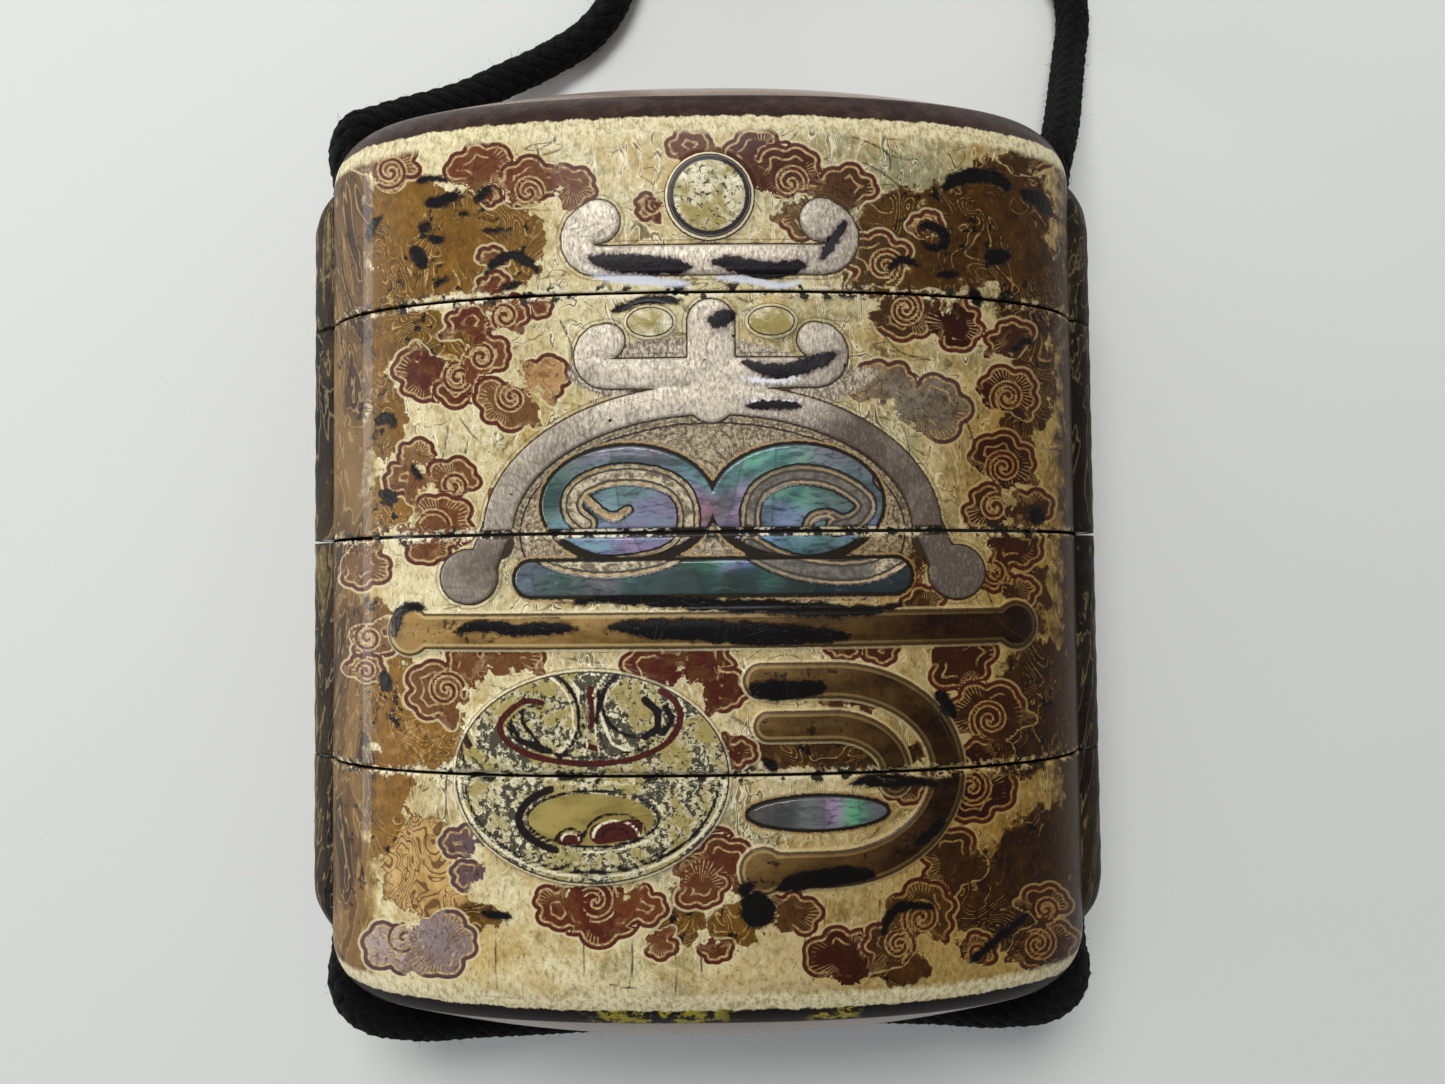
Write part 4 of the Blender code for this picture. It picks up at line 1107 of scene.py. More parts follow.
def painted_lacquer(tones):
    """Cream and gold ground, brown masses, clouds, the crest's bands and worn places, with painted shade
    towards the right and painted reflections.
    """
    make = Recipe("painted_lacquer")
    mix, mask, band, noise = make.mix, make.mask, make.band, make.noise
    wobble = noise(900, 4.0) - 0.5
    fine = noise(3800, 4.0, 0.65) - 0.5
    rough_line = wobble * 0.35 + fine * 0.30
    patches, breaks = noise(240, 2.0), noise(300, 2.0)
    across, along = make.along(0), make.along(1)
    to_right, at_base = mask(across, -0.01, 0.02), mask(along, -0.01, -0.02)

    def ragged(name, amount):
        return make.attribute(name) + rough_line * amount

    # Ground: blotches, a scratchy grain, specks and hairlines
    broad = noise(95, 5.0, 0.6, 0.6)
    middle = noise(560, 6.0, 0.74, 0.8)
    grain = noise(3100, 6.0, 0.78, at=make.stretched((1.0, 0.55, 1.0), 20))
    dust = noise(5200, 3.0, 0.8)
    blotch = (middle - 0.5) * 3.0 + (broad - 0.5) * 1.2
    ground = mix(mask(make.attribute("pale") + blotch, 0.05, 0.90), tones.straw, tones.cream)
    ground = mix(mask(make.attribute("mossy") - blotch * 0.7, 0.34, 0.95, 0.0, 0.9), ground, tones.moss)
    ground = mix(mask(grain, 0.53, 0.63, 0.0, 0.66), ground, (0.19, 0.135, 0.04))
    ground = mix(mask(grain, 0.47, 0.36, 0.0, 0.60), ground, (0.92, 0.86, 0.62))
    ground = make.stain(mask(noise(170, 5.0, 0.7, 0.5), 0.46, 0.62, 0.0, 0.85), ground, (0.74, 0.60, 0.36))
    specks = mask(dust, 0.58, 0.65) * mask(middle, 0.49, 0.56)
    ground = mix(specks * 0.8, ground, (0.09, 0.07, 0.028))
    scratch = make.sum("ABSOLUTE", noise(420, 2.0, 0.5, 1.6, make.stretched((1.0, 0.35, 1.0), 25)) - 0.5)
    other = make.sum("ABSOLUTE", noise(340, 2.0, 0.5, 1.2, make.stretched((0.4, 1.0, 1.0), -30)) - 0.5)
    above_base = mask(along, -0.024, -0.021)
    hair = mask(make.sum("MINIMUM", scratch, other), 0.012, 0.004) * mask(patches, 0.45, 0.52) * above_base
    ground = mix(hair * 0.75, ground, (0.09, 0.065, 0.025))
    ground = mix(band(scratch, 0.014, 0.020, 0.006) * above_base * 0.6, ground, (0.95, 0.90, 0.70))

    # Brown masses with fine gold engraving that follows the grain
    mass = ragged("mass", 1.6) + wobble * 2.6
    depth = make.attribute("light")
    body = mix(depth + wobble * 1.1, tones.umber, tones.ochre)
    body = mix(mask(depth + wobble * 0.3, 0.9, 1.05), body, (0.60, 0.39, 0.15))
    body = mix(mask(grain, 0.54, 0.66, 0.0, 0.65), body, tones.umber)
    body = mix(mask(grain, 0.45, 0.34, 0.0, 0.35), body, (0.44, 0.29, 0.09))
    # Masses darker towards the right: partly their own colour, partly painted shade
    body = make.stain(mask(across, 0.004, 0.018, 0.0, 0.8), body, (0.50, 0.46, 0.40))
    swirl = noise(260, 1.0, 0.4, 0.9)
    engraved = mask(patches, 0.46, 0.54) * mask(fine, -0.10, 0.02)
    body = mix(make.stripes(swirl, 15, 0.08, 0.08) * engraved * 0.75, body, (0.56, 0.40, 0.17))
    body = mix(make.stripes(swirl + 0.02, 15, 0.08, 0.06) * (engraved * 0.8), body, tones.umber)
    pits = mask(noise(1100, 4.0, 0.65), 0.57, 0.61) * mask(patches, 0.47, 0.53)
    golden = mask(depth, 0.80, 0.95)
    body = mix(
        golden * (make.stripes(noise(330, 1.5, 0.4, 1.0), 14, 0.20, 0.08) * 0.9), body, (0.12, 0.058, 0.024))
    body = mix(pits * make.blend(golden, 1.0, 0.2), body, tones.black)
    colour = mix(band(mass, -0.05, 0.10, 0.06), ground, (0.16, 0.09, 0.03))
    colour = mix(mask(mass, 0.05, -0.10), colour, body)

    # Glossy brown along both sides, darker on the right, partly as painted shade
    side = ragged("side", 2.2) + wobble * 3.0
    flow = noise(120, 3.0, 0.5, 2.4, make.stretched((1.0, 0.5, 0.7)))
    flank = make.steps(
        flow,
        [
            (0.34, (0.27, 0.185, 0.075)), (0.46, (0.19, 0.12, 0.044)), (0.54, (0.11, 0.06, 0.020)),
            (0.62, (0.05, 0.026, 0.010))])
    flank = mix(make.stripes(flow, 9, 0.08, 0.06) * 0.7, flank, (0.45, 0.36, 0.18))
    flank = mix(pits * 0.9, flank, tones.black)
    flank = mix(mask(grain, 0.55, 0.68, 0.0, 0.4), flank, (0.15, 0.08, 0.03))
    # On the right the flank takes darker colours: partly its own, partly painted shade on the side away from
    # the light
    shade = mix(
        noise(200, 4.0, 0.6, 1.0, make.stretched((1.0, 0.3, 0.6))), (0.060, 0.030, 0.010),
        (0.12, 0.075, 0.036))
    flank = mix(to_right, flank, shade)
    colour = mix(mask(side, 0.4, -0.6), colour, make.stain(1.0, flank, (0.80, 0.66, 0.46)))

    # Clouds: outline, pale line and combed fill, with scrolls
    cloud, tint = ragged("cloud", 0.30), make.attribute("tint")
    open_side = mask(make.attribute("crown") + wobble * 1.6, -0.10, -0.55)
    cloud = cloud + open_side * (wobble * 3.6 + fine * 1.4)
    closed = 1.0 - open_side
    fill = make.steps(
        tint / 3.2,
        [
            (0.0, tones.oxblood), (0.12, tones.oxblood), (0.32, tones.russet), (0.56, (0.155, 0.075, 0.024)),
            (0.75, (0.46, 0.25, 0.10)), (0.90, (0.56, 0.46, 0.42)), (1.0, (0.12, 0.08, 0.09))])
    # Cloud fill mottled darker on the right: partly its own colour, partly painted shade
    fill = mix(
        mask(noise(650, 4.0, 0.65, 0.5), 0.44, 0.62, 0.0, 0.5), fill,
        mix(to_right, (0.17, 0.082, 0.022), (0.080, 0.036, 0.008)))
    fill = mix(mask(grain, 0.52, 0.64, 0.0, 0.7), fill, tones.umber)
    fill = mix(make.stripes(noise(420, 2.0, 0.5, 1.0), 8, 0.08, 0.06) * 0.55, fill, (0.05, 0.016, 0.010))
    pale = mix(mask(fine, -0.08, 0.10), (0.54, 0.40, 0.20), (0.28, 0.165, 0.06))
    outline = mix(mask(fine, -0.1, 0.15), tones.oxblood, (0.10, 0.030, 0.016))
    outline = mix(mask(tint, 2.6, 2.9), outline, (0.085, 0.045, 0.050))
    curl = ragged("curl", 0.25)
    teeth = make.stripes(make.attribute("comb"), 2.6, 0.26, 0.12) * band(cloud, -0.85, -0.45, 0.10)
    teeth = teeth * mask(breaks, 0.52, 0.58)
    # Clouds darkened towards the right: partly their own colour, partly painted shade
    fill = make.stain(mask(across, -0.004, 0.014, 0.0, 0.9), fill, (0.38, 0.40, 0.32))
    drawn = mix(teeth * 0.8, fill, pale)
    scallop = band(cloud, -0.98, -0.88, 0.04) * mask(breaks, 0.50, 0.46)
    drawn = mix(scallop * (closed * 0.9), drawn, pale)
    drawn = mix(mask(cloud, -0.44, -0.37) * closed, drawn, pale)
    drawn = mix(band(curl, 0.13, 0.23, 0.04), drawn, pale)
    drawn = mix(mask(curl, 0.13, 0.07), drawn, outline)
    drawn = mix(mask(cloud, -0.29, -0.22) * closed, drawn, outline)
    colour = mix(band(cloud, 0.06, 0.18, 0.05) * (closed * 0.6), colour, (0.70, 0.60, 0.35))
    colour = mix(mask(cloud, 0.06, 0.0), colour, drawn)

    # The crest's surroundings
    spark = noise(5200, 4.0, 0.75, at=make.stretched((1.0, 0.45, 1.0), 35))
    sheen = mix(mask(spark, 0.56, 0.42), (0.20, 0.15, 0.11), (0.68, 0.60, 0.48))
    colour = mix(mask(ragged("web", 1.2), 0.12, -0.10), colour, sheen)
    under = ragged("under", 0.8)
    rubbed = mix(mask(noise(3600, 5.0, 0.75), 0.42, 0.60), (0.14, 0.10, 0.06), (0.56, 0.47, 0.32))
    rubbed = mix(make.stripes(swirl, 15, 0.10, 0.06) * 0.6, rubbed, (0.06, 0.045, 0.03))
    colour = mix(mask(under, 0.15, -0.1), colour, rubbed)
    colour = mix(band(under, -0.62, -0.52, 0.05), colour, (0.035, 0.028, 0.025))
    near_metal = make.attribute("metal") + fine * 0.2
    colour = mix(mask(near_metal, 0.10, 0.05), colour, (0.055, 0.038, 0.024))
    colour = mix(band(near_metal, 0.30, 0.34, 0.05) * 0.6, colour, (0.12, 0.085, 0.045))
    near_shell = make.attribute("shell") + fine * 0.3
    colour = mix(
        band(near_shell, 0.20, 0.30, 0.05) * mask(middle, 0.42, 0.50, 0.3, 1.0), colour, (0.42, 0.28, 0.12))
    colour = mix(mask(near_shell, 0.22, 0.14), colour, (0.02, 0.015, 0.010))

    # Its raised bar and right medallion, dark towards the right
    bar = make.attribute("bar") + fine * 0.12
    right = mask(across + wobble * 0.012, -0.012, 0.017)
    streak = noise(500, 4.0, 0.6, 0.3, make.stretched((0.35, 1, 1)))
    bronze = mix(mask(streak, 0.36, 0.62), (0.15, 0.085, 0.020), (0.37, 0.225, 0.075))
    bronze = mix(right, bronze, mix(mask(streak, 0.40, 0.65), (0.014, 0.005, 0.0005), (0.036, 0.015, 0.002)))
    bronze = mix(mask(grain, 0.54, 0.66, 0.0, 0.45), bronze, tones.umber)
    bronze = mix(pits * 0.8, bronze, tones.black)
    bronze = mix(band(bar, -0.20, -0.06, 0.05) * make.blend(right, 0.8, 0.22), bronze, (0.50, 0.37, 0.17))
    colour = mix(band(bar, 0.03, 0.16, 0.05), colour, (0.09, 0.06, 0.025))
    colour = mix(band(bar, 0.22, 0.34, 0.05) * 0.6, colour, (0.72, 0.63, 0.40))
    colour = mix(mask(bar, 0.05, 0.0), colour, bronze)

    # Jewel and petals, and the marbled left medallion
    disc = make.attribute("disc") + fine * 0.15
    marbled, jewel = mask(make.attribute("medal"), 0.8, 0.6), mask(along, 0.0185, 0.0195)
    speck = noise(2500, 5.0, 0.75, 0.4)
    patchy = noise(420, 5.0, 0.65, 0.6)
    pearl = mix(mask(patchy, 0.42, 0.60), (0.36, 0.29, 0.10), (0.88, 0.82, 0.60))
    peppered = speck + (patchy - 0.5) * make.blend(marbled, 0.2, 0.9)
    pepper = mask(peppered + make.blend(marbled, 0.015, 0.065), 0.55, 0.60) * make.blend(jewel, marbled, 1.0)
    pearl = mix(pepper * 0.94, pearl, (0.014, 0.013, 0.006))
    pearl = mix(mask(grain, 0.54, 0.66, 0.0, 0.5), pearl, (0.20, 0.16, 0.07))
    well = mix(mask(streak, 0.40, 0.60), (0.36, 0.28, 0.085), (0.20, 0.15, 0.040))
    pearl = mix(mask(ragged("well", 0.5), 0.03, -0.03), pearl, well)
    volute = ragged("inked", 0.6)
    gilt = ragged("gilt", 0.6)
    rosy = ragged("rosy", 0.6)
    pearl = mix(
        mask(rosy, 0.04, -0.03), pearl,
        mix(mask(fine, -0.1, 0.1), (0.085, 0.015, 0.010), (0.042, 0.010, 0.008)))
    pearl = mix(mask(gilt, 0.03, -0.04), pearl, (0.80, 0.72, 0.50))
    pearl = mix(mask(volute, 0.03, -0.04), pearl, (0.012, 0.009, 0.009))
    pearl = mix(band(disc, -0.42, -0.03, 0.07) * jewel, pearl, (0.030, 0.024, 0.028))
    pearl = mix(band(disc, -0.12, -0.09, 0.03) * jewel, pearl, (0.42, 0.37, 0.30))
    pearl = mix(band(disc, -0.10, -0.02, 0.03), pearl, (0.050, 0.038, 0.030))
    colour = mix(band(disc, 0.02, 0.14, 0.04) * make.blend(jewel, 0.4, 1.0), colour, (0.74, 0.66, 0.45))
    colour = mix(band(disc, 0.17, 0.23, 0.03) * make.blend(jewel, 0.5, 1.0), colour, (0.05, 0.030, 0.025))
    colour = mix(mask(disc, 0.03, -0.02), colour, pearl)

    # Cracks, and seams chipped to cream with black nicks
    crack = mask(ragged("crack", 0.25), 0.06, -0.01)
    colour = mix(crack * 0.85, colour, (0.05, 0.035, 0.018))
    seam = make.attribute("seam")
    chips = noise(1300, 4.0, 0.7)
    nicks = noise(800, 3.0, 0.6)
    close = mask(seam + fine * 0.9, 0.40, 0.10)
    colour = mix(close * mask(chips + (broad - 0.5) * 0.5, 0.48, 0.56), colour, (0.80, 0.73, 0.54))
    colour = mix(
        mask(seam + wobble * 1.5, 0.60, 0.25) * mask(nicks, 0.56, 0.60), colour, (0.025, 0.027, 0.018))

    # Black worn marks and a painted shadow under the shell strip, with a painted reflection of the light
    # beside some marks
    tatter = noise(1500, 5.0, 0.8, at=make.stretched((0.6, 1.0, 1.0))) - 0.5
    worn = make.attribute("worn") + (tatter * 1.1 + wobble * 0.35)
    colour = mix(mask(worn, 0.20, 0.02, 0.0, 0.75), colour, tones.umber)
    colour = mix(mask(worn, 0.05, -0.04), colour, tones.black)
    # Painted reflection of the light on the lower edge beside some marks
    glint = ragged("glint", 0.4)
    painted_glinting = mask(glint, 0.12, -0.10) * mask(worn, 0.0, 0.06)
    colour = mix(painted_glinting * 0.85, colour, (0.66, 0.69, 0.80))

    # Painted shade towards the lower right, partly the lacquer's own darker colour there
    lower_right_shade = across - along * 0.25 + (broad - 0.5) * 0.03
    colour = make.stain(mask(lower_right_shade, 0.002, 0.024, 0.0, 1.0), colour, (0.54, 0.42, 0.22))

    # Dark ends with a feathery edge, and the plain domes past them
    feather = noise(1500, 5.0, 0.7, at=make.stretched((1.0, 0.5, 0.5))) - 0.5
    tip = make.attribute("tip") + (feather * 1.1 + (broad - 0.5) * 1.0)
    colour = mix(
        band(tip, -1.3, -0.1, 0.5) * 0.85, colour,
        mix(mask(grain, 0.46, 0.60), (0.80, 0.72, 0.47), (0.42, 0.34, 0.15)))
    bark = mix(mask(noise(800, 4.0, 0.65), 0.45, 0.68), (0.030, 0.015, 0.011), (0.065, 0.036, 0.026))
    patch = band(across, -0.0070, 0.0005, 0.002) + band(across, 0.0078, 0.0102, 0.001)
    sulphur = patch * mask(along, -0.030, -0.032) * mask(noise(900, 4.0, 0.7), 0.50, 0.56)
    bark = make.stain(at_base, bark, (0.12, 0.07, 0.04))
    bark = mix(sulphur * 0.85, bark, (0.42, 0.34, 0.03))
    colour = mix(mask(tip, -0.08, 0.08), colour, bark)
    dome = make.attribute("dome")
    on_dome = mask(dome, 0.2, 0.8)
    colour = mix(on_dome, colour, mix(noise(60, 3.0), (0.24, 0.165, 0.125), (0.30, 0.21, 0.16)))
    colour = mix(band(dome, 0.02, 0.3, 0.02), colour, (0.02, 0.010, 0.007))

    # Gloss and fine relief
    rough = mask(grain + middle * 0.5, 0.6, 0.95, 0.30, 0.50)
    rough = make.blend(mask(worn, 0.1, -0.05), rough, 0.28)
    rough = make.blend(mask(tip, -0.1, 0.1) * at_base, rough, 0.6)
    rough = make.blend(on_dome, rough, 0.12)
    height = grain * 0.6 + mask(worn, 0.1, -0.06) * -1.1
    height = height + mask(curl, 0.2, 0.1) * -0.3
    height = height + make.sum("MAXIMUM", hair, crack) * -0.6
    height = height + (broad + middle) * 0.8
    make.bump(height, 0.00006, 0.8)
    return make.finish(colour, rough, Coat_Weight=0.07, Coat_Roughness=0.05, Specular_IOR_Level=0.10)


def runner_lacquer(tones):
    """Mottled cream, olive and near black of the cord runners."""
    make = Recipe("runner_lacquer")
    flow = make.noise(110, 4.0, 0.6, 2.0, make.stretched((1.0, 0.30, 1.0)))
    fine = make.noise(2200, 5.0, 0.75)
    base = make.steps(
        flow + (fine - 0.5) * 0.22,
        [
            (0.40, (0.006, 0.004, 0.003)), (0.47, (0.018, 0.011, 0.006)), (0.54, (0.040, 0.026, 0.010)),
            (0.60, (0.11, 0.078, 0.028)), (0.68, (0.32, 0.25, 0.12))])
    base = make.mix(make.stripes(flow, 9, 0.10) * 0.8, base, (0.018, 0.012, 0.009))
    base = make.mix(make.stripes(flow + 0.02, 9, 0.07) * 0.55, base, (0.28, 0.21, 0.10))
    base = make.mix(make.mask(fine, 0.62, 0.68) * 0.5, base, (0.30, 0.25, 0.15))
    # The right runner is darkened: painted shade on the side away from the light
    shade = make.mask(make.along(0), -0.01, 0.01, 1.0, 0.65)
    base = make.mix(shade, (0.014, 0.010, 0.006), base)
    make.bump(fine + flow * 4.0, 0.00008, 0.8)
    return make.finish(base, make.mask(fine, 0.4, 0.7, 0.40, 0.60), Specular_IOR_Level=0.06)


def inner_lacquer():
    """Near-black lacquer with gold flecks for risers, walls and compartments."""
    make = Recipe("inner_lacquer")
    flecks = make.cells(1500)
    sparse = make.noise(900, 2.0)
    colour = make.mix(make.noise(120, 4.0), (0.020, 0.012, 0.008), (0.045, 0.024, 0.012))
    colour = make.mix(
        make.mask(flecks, 0.22, 0.12) * make.mask(sparse, 0.48, 0.56), colour, (0.45, 0.30, 0.10))
    make.bump(flecks, 0.00002, 0.5)
    return make.finish(colour, make.mask(sparse, 0.3, 0.7, 0.18, 0.32), Coat_Weight=0.5, Coat_Roughness=0.05)


def worn_pewter(inlay):
    """Warm grey pewter with a sparkling grain, darker where it is tarnished."""
    make = Recipe("worn_pewter")
    grain = make.noise(5200, 4.0, 0.75, at=make.stretched((1.0, 0.45, 1.0), 35))
    cloudy = make.noise(230, 5.0, 0.65, 0.6)
    dull = make.attribute("tarnish")
    colour = make.mix(dull + make.mask(cloudy, 0.35, 0.75, -0.18, 0.25), inlay.pewter, inlay.tarnish)
    lively = make.mask(dull, 0.1, 0.8, 1.0, 0.15)
    colour = make.mix(make.mask(grain, 0.50, 0.38) * (lively * 0.75), colour, (0.88, 0.80, 0.64))
    colour = make.mix(make.mask(grain, 0.52, 0.64) * 0.65, colour, (0.13, 0.095, 0.085))
    pits = make.mask(make.noise(1000, 2.0), 0.72, 0.75)
    colour = make.mix(pits, colour, (0.02, 0.014, 0.012))
    contour = make.stripes(make.noise(150, 2.0, 0.5, 1.0), 6, 0.05, 0.05)
    colour = make.mix(contour * 0.35, colour, (0.10, 0.07, 0.055))
    rim = make.attribute("inside") + (grain - 0.5) * 0.15
    colour = make.mix(make.mask(rim, -0.03, 0.04), colour, (0.06, 0.045, 0.035))
    # Worn marks, with the painted shadow under the shell strip among them
    mark = make.attribute("worn") + (make.noise(1700, 5.0, 0.7) - 0.5) * 0.95
    colour = make.mix(make.mask(mark, 0.30, 0.0, 0.0, 0.6), colour, (0.12, 0.06, 0.075))
    colour = make.mix(make.mask(mark, 0.06, -0.05), colour, (0.008, 0.006, 0.008))
    # Painted reflection of the light beside some marks
    glint = make.attribute("glint") + (grain - 0.5) * 1.3
    painted_glinting = make.mask(glint, 0.12, -0.12) * make.mask(mark, 0.0, 0.06)
    colour = make.mix(painted_glinting * 0.9, colour, (0.88, 0.87, 0.92))
    make.bump(grain * 0.5 + cloudy * 2.0, 0.00007, 0.9)
    return make.finish(colour, make.mask(grain, 0.3, 0.7, 0.30, 0.5), Metallic=0.12, Specular_IOR_Level=0.18)


def shell_inlay():
    """Iridescent shell in panes of teal, green, violet and rose."""
    make = Recipe("shell_inlay")
    ripple = make.noise(520, 4.0, 0.6, 1.2, make.stretched((0.5, 1.4, 1.0), -12))
    silk = make.noise(1500, 4.0, 0.7, 0.6, make.stretched((0.5, 1.6, 1.0), -18))
    tide = make.noise(190, 3.0, 0.55, 1.4, make.stretched((0.6, 1.3, 1.0), -20))
    hue = make.mask(tide * 0.5 + ripple * 0.5, 0.35, 0.65, 0.40, 0.60)
    colour = make.node(
        "HueSaturation", "Color",
        {"Hue": hue, "Saturation": 0.95, "Value": 1.0, "Color": make.attribute("lustre", "Color")})
    colour = make.mix(make.mask(silk, 0.44, 0.30, 0.0, 0.30), colour, (0.30, 0.34, 0.36))
    colour = make.mix(make.mask(silk, 0.48, 0.66, 0.0, 0.85), colour, (0.016, 0.026, 0.025))
    colour = make.mix(make.mask(tide, 0.50, 0.66, 0.0, 0.75), colour, (0.020, 0.048, 0.040))
    panes = make.cells(150, at=make.stretched((1.0, 0.7, 1.0)), output="Color")
    pane = make.node("SeparateColor", 0, {0: panes})
    colour = make.mix(make.mask(pane, 0.3, 0.9) * 0.35, colour, (0.09, 0.10, 0.10))
    crack = make.mask(make.cells(150, "DISTANCE_TO_EDGE", make.stretched((1.0, 0.7, 1.0))), 0.020, 0.006)
    colour = make.mix(crack * 0.35, colour, (0.04, 0.05, 0.05))
    groove = make.attribute("groove") + (make.noise(2400, 4.0) - 0.5) * 0.22
    putty = make.mix(
        make.mask(make.noise(1900, 5.0, 0.7), 0.42, 0.56), (0.60, 0.52, 0.34), (0.14, 0.105, 0.065))
    putty = make.mix(make.mask(make.attribute("deep"), 0.0, 1.0, 0.0, 0.8), putty, (0.07, 0.065, 0.065))
    colour = make.mix(make.band(groove, 0.0, 0.12, 0.04), colour, (0.02, 0.016, 0.012))
    putty = make.mix(
        make.band(groove, -0.20, -0.12, 0.03) * make.mask(ripple, 0.42, 0.50, 0.4, 1.0), putty,
        (0.46, 0.30, 0.13))
    putty = make.mix(make.band(groove, -0.42, -0.30, 0.04), putty, (0.05, 0.04, 0.03))
    colour = make.mix(make.mask(groove, 0.0, -0.05), colour, putty)
    rim = make.attribute("inside")
    colour = make.mix(make.mask(rim, -0.16, -0.06), colour, (0.03, 0.024, 0.018))
    rough = make.blend(make.mask(groove, 0.0, -0.05), 0.16, 0.5)
    make.bump(ripple * 0.5 + make.mask(groove, 0.1, -0.2) * -1.5, 0.00008, 0.8)
    return make.finish(colour, rough, Coat_Weight=0.12, Coat_Roughness=0.05, Specular_IOR_Level=0.3)


def black_yarn(cord):
    """Matt black yarn: fine fibres along each strand, with specks of dust."""
    make = Recipe("black_yarn")
    along = make.attribute("fibre")
    grain = make.noise(5200, 3.0, 0.7)
    stripes = make.sum("FRACT", along + grain * 0.6)
    colour = make.mix(stripes * make.mask(grain, 0.4, 0.7), cord.black, (0.012, 0.012, 0.014))
    dust = make.mask(make.noise(2500, 4.0, 0.8), 0.68, 0.74)
    colour = make.mix(dust * 0.3, colour, (0.07, 0.07, 0.07))
    make.bump(stripes + grain, 0.00012, 1.0)
    return make.finish(colour, 0.9, Sheen_Weight=0.04, Sheen_Roughness=0.4, Specular_IOR_Level=0.1)


# Inlays: their gap to a section's edge and how deep their rims sit, in millimetres, and their
# thickness in metres
INLAY_GAP, INLAY_SUNK, INLAY_THICKNESS = 0.1, 0.15, 0.00025

# Grooves in the shell that show the ground between its scrolls: a path and a width
VOLUTES = [
    (
        [
            (586, 524), (574, 514), (573, 498), (586, 484), (615, 475), (648, 476), (674, 486), (687, 504),
            (688, 528), (680, 548), (650, 562), (600, 567), (558, 560), (534, 546)], 21),
    ([(628, 510), (613, 517), (600, 511), (586, 498)], 8),
    (
        [
            (751, 532), (751, 508), (762, 488), (788, 476), (818, 476), (846, 486), (866, 504), (856, 520),
            (836, 526)], 19), ([(806, 530), (812, 518), (828, 514), (846, 522)], 9),
    ([(884, 478), (897, 494), (904, 514), (902, 536)], 20),
    ([(750, 546), (780, 562), (825, 572), (870, 570), (906, 552)], 24),
    ([(700, 440), (717, 466), (736, 440)], 6)]

# Colours of the shell: place in pixels, then the colour there
SHELL_WASH = [
    (545, 465, 0.07, 0.15, 0.11), (560, 450, 0.17, 0.17, 0.18), (600, 442, 0.20, 0.18, 0.24),
    (650, 438, 0.28, 0.24, 0.36), (690, 440, 0.36, 0.32, 0.44), (690, 462, 0.14, 0.34, 0.34),
    (708, 480, 0.16, 0.42, 0.44), (700, 512, 0.58, 0.22, 0.36), (695, 500, 0.40, 0.25, 0.45),
    (535, 500, 0.08, 0.15, 0.10), (530, 520, 0.10, 0.16, 0.12), (610, 486, 0.14, 0.30, 0.28),
    (640, 486, 0.16, 0.30, 0.34), (600, 500, 0.20, 0.32, 0.34), (650, 505, 0.30, 0.26, 0.45),
    (670, 500, 0.28, 0.25, 0.40), (740, 450, 0.10, 0.36, 0.26), (770, 445, 0.16, 0.44, 0.36),
    (725, 475, 0.12, 0.36, 0.32), (800, 437, 0.20, 0.34, 0.32), (830, 445, 0.18, 0.17, 0.22),
    (860, 455, 0.12, 0.15, 0.17), (890, 475, 0.10, 0.13, 0.15), (740, 500, 0.34, 0.26, 0.42),
    (790, 490, 0.10, 0.28, 0.20), (840, 490, 0.10, 0.17, 0.15), (780, 515, 0.18, 0.28, 0.38),
    (860, 500, 0.09, 0.12, 0.14), (600, 545, 0.22, 0.29, 0.46), (640, 545, 0.34, 0.26, 0.48),
    (560, 545, 0.20, 0.26, 0.44), (720, 545, 0.16, 0.40, 0.40), (735, 540, 0.44, 0.24, 0.60),
    (755, 550, 0.12, 0.24, 0.56), (700, 560, 0.025, 0.12, 0.07), (770, 565, 0.025, 0.12, 0.08),
    (520, 575, 0.11, 0.14, 0.17), (560, 580, 0.06, 0.11, 0.10), (600, 580, 0.13, 0.13, 0.14),
    (640, 575, 0.02, 0.09, 0.06), (690, 580, 0.008, 0.045, 0.025), (740, 588, 0.006, 0.028, 0.018),
    (800, 585, 0.005, 0.020, 0.014), (850, 582, 0.010, 0.020, 0.030), (890, 580, 0.014, 0.020, 0.024),
    (872, 545, 0.14, 0.20, 0.32), (760, 812, 0.09, 0.07, 0.055), (785, 812, 0.015, 0.018, 0.015),
    (812, 812, 0.20, 0.22, 0.18), (820, 812, 0.03, 0.04, 0.03), (832, 810, 0.42, 0.24, 0.44),
    (852, 812, 0.08, 0.36, 0.20), (880, 806, 0.08, 0.08, 0.09),
]


def inlay_paint(obj, shape):
    """Store the distances and tints that the inlays' materials turn into marks, painted reflections and
    lustre.
    """
    points = points_of(obj)
    where = seen_from_front(points)
    store(obj, "inside", shape(points[:, :2]))
    # Worn marks, and the painted shadow under the shell strip
    store_drawn(obj, "worn", to_strokes(where, MARKS))
    # Painted reflections of the light beside some marks
    store_drawn(obj, "glint", to_strokes(where, PAINTED_GLINTS))
    store_drawn(obj, "groove", to_lines(where, [(smooth(path, 8), width) for path, width in VOLUTES]))
    store(obj, "deep", ramp(where[:, 0], 730, 760) * ramp(where[:, 0], 880, 868))
    sheen = blend_wash(where, np.ones(len(where), dtype=bool), SHELL_WASH, 3.0)
    layer = obj.data.attributes.new("lustre", "FLOAT_COLOR", "POINT")
    opaque = np.ones((len(where), 1))
    layer.data.foreach_set("color", np.concatenate([sheen, opaque], axis=1).astype(np.float32).ravel())
    flanks = ramp(np.abs(points[:, 0] - CREST_X), 5.5, 11.0) * ramp(points[:, 1], 12.0, 9.0)
    right = ramp(points[:, 0], -1.0, 12.0)
    feet = ramp(points[:, 1], 2.0, 1.0)
    store(obj, "tarnish", np.clip(0.05 + 0.52 * flanks + 0.42 * right + 0.26 * feet, 0, 1))


